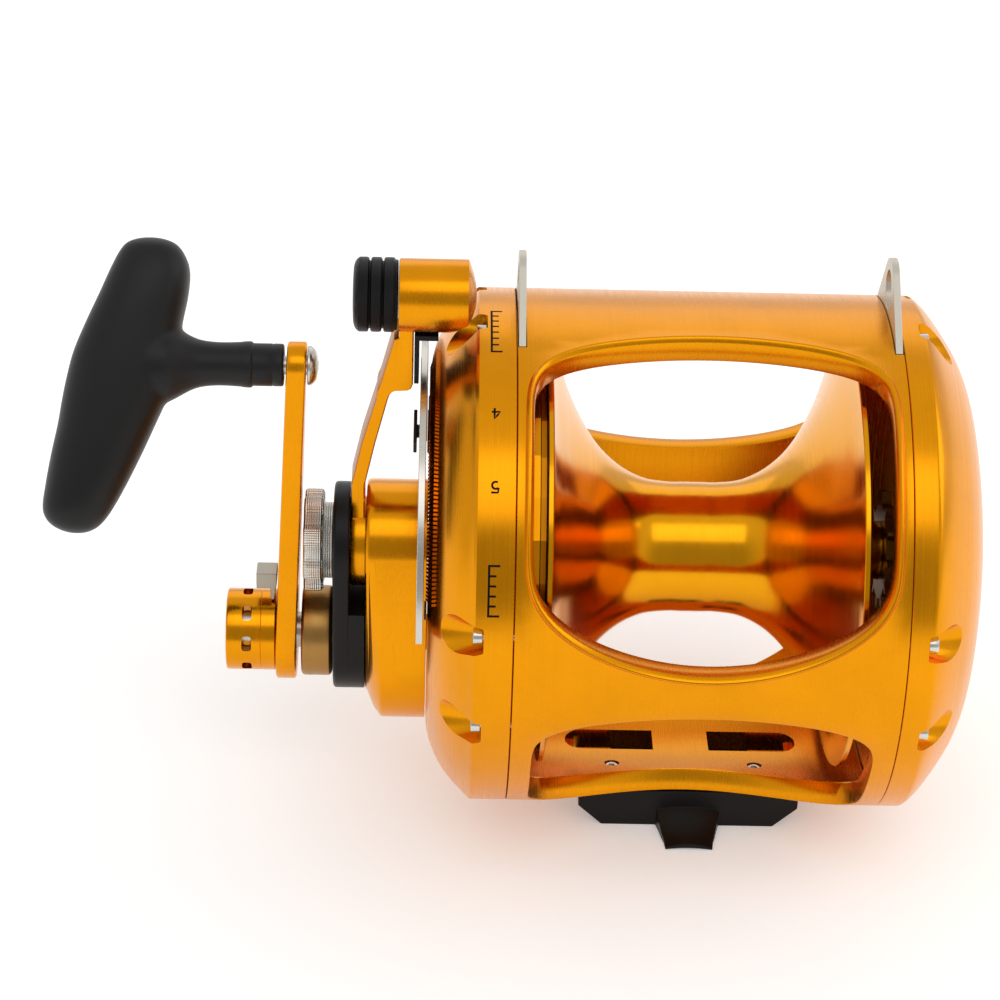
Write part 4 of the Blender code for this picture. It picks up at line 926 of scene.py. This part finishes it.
push = [(-152.9, 0), (-152.9, 2.2), (-153.15, 2.6), (-153.1, 5.0), (-152.9, 6.2), (-152.3, 7.1), (-151.7, 7.3), (-150.0, 7.3), (-150.0, 9.2), (-143.6, 9.2), (-143.6, 0)]
vis(revolve("push", push, 96, 0.0, HZ, False), "shift_button", STEEL_HANDLE, keep_sharp=30.0)

lock = [(-137.5, HZ + 14.2), (-139.0, HZ + 14.2), (-139.0, HZ + 18.6), (-143.6, HZ + 18.6), (-143.6, HZ + 24.4), (-136.6, HZ + 24.4), (-136.6, HZ + 21.4)]
slope = [(x - 0.18, z) if x > -138 else (x, z) for x, z in lock]
vis(prism_y("lock", slope, -3.6, 3.6), "lock_tab", DULL_STEEL, 0.35, 3)

dome = [(-126.3, 0), (-126.3, 6.1), (-126.1, 6.3), (-125.6, 6.35)] + catmull([(-125.4, 6.3), (-124.4, 5.6), (-123.4, 4.0), (-122.8, 0)], 5)
bolt = revolve("gbolt", dome, 64, 0.0, HZ + ARM_L, False)
boolean(bolt, cyl_x("c", 3.0, -146.0, -125.0, 40, 0.0, HZ + ARM_L), "UNION")
boolean(bolt, hex_cut(-124.9, -120.0, 3.6, 0.0, HZ + ARM_L))
vis(bolt, "grip_bolt", STEEL_HANDLE, keep_sharp=30.0)

# ---------------------------------------------------------------- grip
GZ = HZ + ARM_L


def grip_point(x, t, w):
    s, c = math.sin(GRIP_TURN), math.cos(GRIP_TURN)
    return (x, t * s - w * c, GZ + t * c + w * s)


BAR = [
    (39.6, -179.6, -174.0, 2.6), (38.2, -184.0, -169.4, 6.6), (35.2, -186.6, -166.4, 9.4), (29.5, -189.4, -164.2, 11.6), (21.5, -192.8, -164.6, 12.9), (13.0, -196.6, -166.2, 13.4),
    (3.5, -200.4, -167.4, 13.6), (-4.0, -202.3, -168.6, 13.6), (-12.0, -203.8, -171.0, 13.5), (-20.0, -205.0, -174.4, 13.3), (-30.0, -207.0, -178.8, 12.8), (-40.0, -208.6, -183.6, 12.0),
    (-47.0, -209.3, -187.4, 10.6), (-51.0, -207.6, -190.2, 8.4), (-53.4, -204.2, -193.0, 5.6), (-54.6, -200.4, -196.4, 2.2),
]
rows = []
for t, xo, xi, d in catmull(BAR, 4):
    cx, hw = (xo + xi) / 2, (xi - xo) / 2
    ring = []
    for i in range(72):
        a = 2 * math.pi * i / 72
        ca, sa = math.cos(a), math.sin(a)
        k = (abs(ca) ** 2.3 + abs(sa) ** 2.3) ** (-1 / 2.3)
        ring.append(grip_point(cx + hw * ca * k, t, d * sa * k))
    rows.append(ring)
grip = loft("gripbar", rows)
STEM = [(-144.6, 7.35), (-148.0, 7.15), (-152.0, 6.95), (-156.0, 7.0), (-160.5, 7.6), (-164.0, 9.0), (-168.0, 11.3), (-171.0, 12.6), (-176.0, 12.8)]
rows = []
for x, r in catmull(STEM, 3):
    rows.append([grip_point(x, r * math.cos(2 * math.pi * i / 64), r * math.sin(2 * math.pi * i / 64)) for i in range(64)])
boolean(grip, loft("c", rows), "UNION")
m = grip.modifiers.new("blend", "REMESH")
m.mode = "VOXEL"
m.voxel_size = 0.0008
m.use_smooth_shade = True
m = grip.modifiers.new("soften", "SMOOTH")
m.factor = 0.5
m.iterations = 14
apply_all(grip)
# the collar next to the arm, and a narrow step before the moulded stem
collar = revolve("c", [(-133.9, 0), (-133.9, 6.3), (-134.2, 6.7), (-134.6, 6.8), (-137.0, 6.8), (-137.15, 6.65), (-137.45, 6.65), (-137.6, 6.8), (-143.6, 6.8), (-143.9, 7.2), (-144.5, 7.4), (-146.5, 7.3), (-150.0, 6.6), (-150.0, 0)], 72, 0.0, GZ, False)
boolean(grip, collar, "UNION")
boolean(grip, cyl_x("c", 3.0 + RUN, -147.0, -130.0, 32, 0.0, GZ))
vis(grip, "grip", RUBBER, keep_sharp=50.0)

# ---------------------------------------------------------------- drag lever
def lev(x, r, w):
    ey, ez = polar(1.0, LEV_ANGLE)
    return (x, r * ey - w * ez, r * ez + w * ey)


lever = revolve("lev", [(-112.4, SHAFT_R + RUN), (-112.4, 14.2), (-112.2, 14.6), (-111.8, 14.8), (-107.6, 14.8), (-107.6, 8.8), (-101.6, 8.8), (-101.6, SHAFT_R + RUN)], 80)
ARM_PATH = [
    (-112.2, -107.9, 10.0, 6.4), (-112.2, -107.9, 26.0, 6.4), (-108.9, -104.6, 42.0, 6.1), (-104.45, -100.7, 58.6, 5.9), (-104.3, -100.2, 60.2, 5.9), (-104.15, -99.5, 61.2, 5.9), (-103.95, -98.2, 61.95, 5.9), (-103.85, -94.1, 62.25, 5.9),
    (-103.7, -93.5, 62.6, 5.9), (-103.4, -93.2, 63.3, 5.95), (-103.0, -92.8, 64.6, 6.0), (-98.9, -92.8, 81.0, 6.5), (-97.5, -92.8, 81.9, 6.5), (-97.0, -92.8, 88.0, 6.6),
]
rows = []
for x0, x1, r, w in ARM_PATH:
    rows.append([lev(x0, r, -w + 0.7), lev(x0 + 0.2, r, -w + 0.2), lev(x0 + 0.7, r, -w), lev(x1 - 0.4, r, -w), lev(x1, r, -w + 0.4), lev(x1, r, w - 0.4), lev(x1 - 0.4, r, w), lev(x0 + 0.7, r, w), lev(x0 + 0.2, r, w - 0.2), lev(x0, r, w - 0.7)])
boolean(lever, loft("c", rows), "UNION")
boolean(lever, cyl_x("c", SHAFT_R + RUN, -120.0, -95.0, 64))
ky, kz = polar(LEV_R, LEV_ANGLE)
end = catmull([(-75.9, 11.5), (-74.6, 8.0), (-73.5, 3.5), (-73.3, 0)], 4)
slug = revolve("c", [(-97.6, 0), (-97.6, 11.0), (-97.45, 11.35), (-97.1, 11.5), (-76.2, 11.5)] + end, 96, ky, kz, False)
sl = [(-86.75, -14.0), (-60.0, -14.0), (-60.0, -1.8), (-73.0, -1.8)]
boolean(slug, loft("c", [[lev(u, LEV_R + v, -16.0) for u, v in sl], [lev(u, LEV_R + v, 16.0) for u, v in sl]]))
boolean(lever, slug, "UNION")
vis(lever, "drag_lever", GOLD_FLAT, keep_sharp=27.0)
# the arm's outer faces get a darker, rougher gold than the turned hub and end; the darker colour is painted shade
lever.data.materials.append(GOLD_PAINTED_SHADE)
ly, lz = polar(1.0, LEV_ANGLE)
for f in lever.data.polygons:
    c = f.center / MM
    y, z = c.y, c.z - AXIS_H
    # mask for the painted shade: the arm's faces turned towards -X, between the hub and the end
    if 20.0 < y * ly + z * lz < 80.0 and abs(z * ly - y * lz) < 6.7 and f.normal.x < -0.5:
        f.material_index = 1

KNOB = [(-97.9, 0), (-97.9, 10.7), (-98.1, 11.0), (-98.7, 11.0)]
for i in range(3):
    x = -98.9 - 4.05 * i
    KNOB += [(x - 0.0, 11.25), (x - 0.25, 11.6), (x - 0.8, 11.7), (x - 2.6, 11.7), (x - 3.15, 11.6), (x - 3.4, 11.25), (x - 3.45, 10.6), (x - 3.95, 10.6)]
KNOB = KNOB[:-3] + [(-110.9, 10.9), (-111.4, 10.1), (-111.75, 8.8), (-111.9, 6.0), (-111.9, 0)]
vis(revolve("lknob", KNOB, 96, ky, kz, False), "lever_knob", BLACK_KNURL, keep_sharp=32.0)
angle = [(-92.5, 64.4), (-91.0, 64.4), (-91.0, 80.2), (-85.0, 80.2), (-85.0, 82.0), (-92.5, 82.0)]
vis(loft("slider", [[lev(x, r, w) for x, r in angle] for w in (-5.2, 5.2)]), "lever_slider", BLACK_FLAT, 0.2, 2)

# ---------------------------------------------------------------- preset knob
LOBES = 8
STAR_TURN = math.radians(8.5)


def star_ring(x, k):
    out = []
    for i in range(LOBES * 28):
        a = 2 * math.pi * i / (LOBES * 28)
        w = math.cos(a * LOBES)
        r = 15.85 + 0.95 * max(-1.0, min(1.0, 2.2 * w)) - 0.35 * max(0.0, -w) ** 2 - k
        out.append((x, r * math.cos(a + STAR_TURN), r * math.sin(a + STAR_TURN)))
    return out


knob = loft("pknob", [star_ring(-127.7, 1.0), star_ring(-127.5, 0.5), star_ring(-127.1, 0.12), star_ring(-126.7, 0.0), star_ring(-122.3, 0.0), star_ring(-121.9, 0.12), star_ring(-121.5, 0.5), star_ring(-121.3, 1.0)])
boolean(knob, cyl_x("c", 12.5, -124.0, -118.3, 96), "UNION")
boolean(knob, cyl_x("c", SHAFT_R + RUN, -124.0, -110.0, 64))
boolean(knob, ring_x("c", 9.6, 10.4, -128.5, -127.3, 96))
vis(knob, "preset_knob", STEEL_KNURL, keep_sharp=32.0)

# ---------------------------------------------------------------- pieces kept from the CAD
# the drag washer's darker gold is painted shade
KEPT = {
    "handle_bearing": GEARSTEEL, "spool_bearing_d": GEARSTEEL, "spool_bearing_c": GEARSTEEL, "drag_washer": GOLD_WASHER_SHADE, "drag_plate": GOLD, "pinion_cluster": GEARSTEEL, "click_gear": BRONZE,
    "high_gear": BRONZE, "low_gear": BRONZE, "ratchet_wheel": GEARSTEEL, "antireverse_dog": GEARSTEEL, "cam_follower": GEARSTEEL,
}
for name, material in KEPT.items():
    o = frame_data["nodes"][name]
    o.data.materials.clear()
    o.data.materials.append(material)
    m = o.modifiers.new("edges", "BEVEL")
    m.width = 0.00012
    m.segments = 1
    m.limit_method = "ANGLE"
    m.angle_limit = math.radians(40)
    m.use_clamp_overlap = True

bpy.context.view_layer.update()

# ---------------------------------------------------------------- floor, light and camera
floor_mesh = bpy.data.meshes.new("floor")
floor_mesh.from_pydata([(-6, -6, 0), (6, -6, 0), (6, 6, 0), (-6, 6, 0)], [], [(0, 1, 2, 3)])
floor = bpy.data.objects.new("floor", floor_mesh)
bpy.context.scene.collection.objects.link(floor)
fm = bpy.data.materials.new("floor_pale")
fm.use_nodes = True
fb = fm.node_tree.nodes["Principled BSDF"]
fb.inputs["Base Color"].default_value = (0.93, 0.93, 0.93, 1)
fb.inputs["Roughness"].default_value = 0.9
fb.inputs["Specular IOR Level"].default_value = 0.1
fb.inputs["Emission Color"].default_value = (1.0, 0.995, 0.985, 1)
fb.inputs["Emission Strength"].default_value = 0.3
floor_mesh.materials.append(fm)

world = bpy.data.worlds.new("studio")
bpy.context.scene.world = world
world.use_nodes = True
wt = world.node_tree
bg = wt.nodes["Background"]
wc = wt.nodes.new("ShaderNodeTexCoord")
dot = wt.nodes.new("ShaderNodeVectorMath")
dot.operation = "DOT_PRODUCT"
dot.inputs[1].default_value = (-0.06, -0.955, 0.29)
wt.links.new(wc.outputs["Generated"], dot.inputs[0])
wr = wt.nodes.new("ShaderNodeValToRGB")
wr.color_ramp.interpolation = "EASE"
wr.color_ramp.elements[0].position = 0.60
wr.color_ramp.elements[0].color = (0.76, 0.76, 0.76, 1)
wr.color_ramp.elements[1].position = 0.985
wr.color_ramp.elements[1].color = (0.40, 0.40, 0.40, 1)
wt.links.new(dot.outputs["Value"], wr.inputs[0])
wt.links.new(wr.outputs[0], bg.inputs["Color"])
bg.inputs["Strength"].default_value = 1.0


def area(name, place, aim, size, power, tint=(1, 1, 1)):
    light = bpy.data.lights.new(name, "AREA")
    light.shape = "RECTANGLE"
    light.size, light.size_y = size
    light.energy = power
    light.color = tint
    o = bpy.data.objects.new(name, light)
    bpy.context.scene.collection.objects.link(o)
    o.location = place
    d = Vector(aim) - Vector(place)
    o.rotation_euler = d.to_track_quat("-Z", "Y").to_euler()
    return o


area("top_front_soft", (0.0, -1.0, 1.65), (0, 0, 0.1), (1.8, 1.0), 5.6)
area("back_soft", (0.0, 1.6, 1.0), (0, 0.2, 0.0), (2.2, 1.0), 3.0)
area("right_soft", (1.5, 0.1, 0.9), (0, 0, 0.1), (1.0, 1.0), 3.4)

cam = bpy.data.cameras.new("camera")
cam.sensor_width = 36.0
cam.lens = 111.6
cam.clip_start, cam.clip_end = 0.05, 30.0
camera = bpy.data.objects.new("camera", cam)
bpy.context.scene.collection.objects.link(camera)
yaw, pitch, roll = math.radians(-1.45), math.radians(-32.198), math.radians(-1.86)
cz_, sz_ = math.cos(yaw), math.sin(yaw)
cx_, sx_ = math.cos(pitch), math.sin(pitch)
cr_, sr_ = math.cos(roll), math.sin(roll)
RZ = Matrix(((cz_, -sz_, 0), (sz_, cz_, 0), (0, 0, 1)))
RX = Matrix(((1, 0, 0), (0, cx_, -sx_), (0, sx_, cx_)))
RY = Matrix(((cr_, 0, sr_), (0, 1, 0), (-sr_, 0, cr_)))
M = RZ @ RX @ RY
right, forward, up = M.col[0], M.col[1], M.col[2]
rot = Matrix((right, up, -forward)).transposed()
camera.matrix_world = Matrix.Translation((-0.0856, -0.856, 0.6502)) @ rot.to_4x4()
bpy.context.scene.camera = camera
bpy.context.scene.view_settings.view_transform = "Standard"
bpy.context.scene.view_settings.look = "None"
bpy.context.scene.view_settings.exposure = 0.0
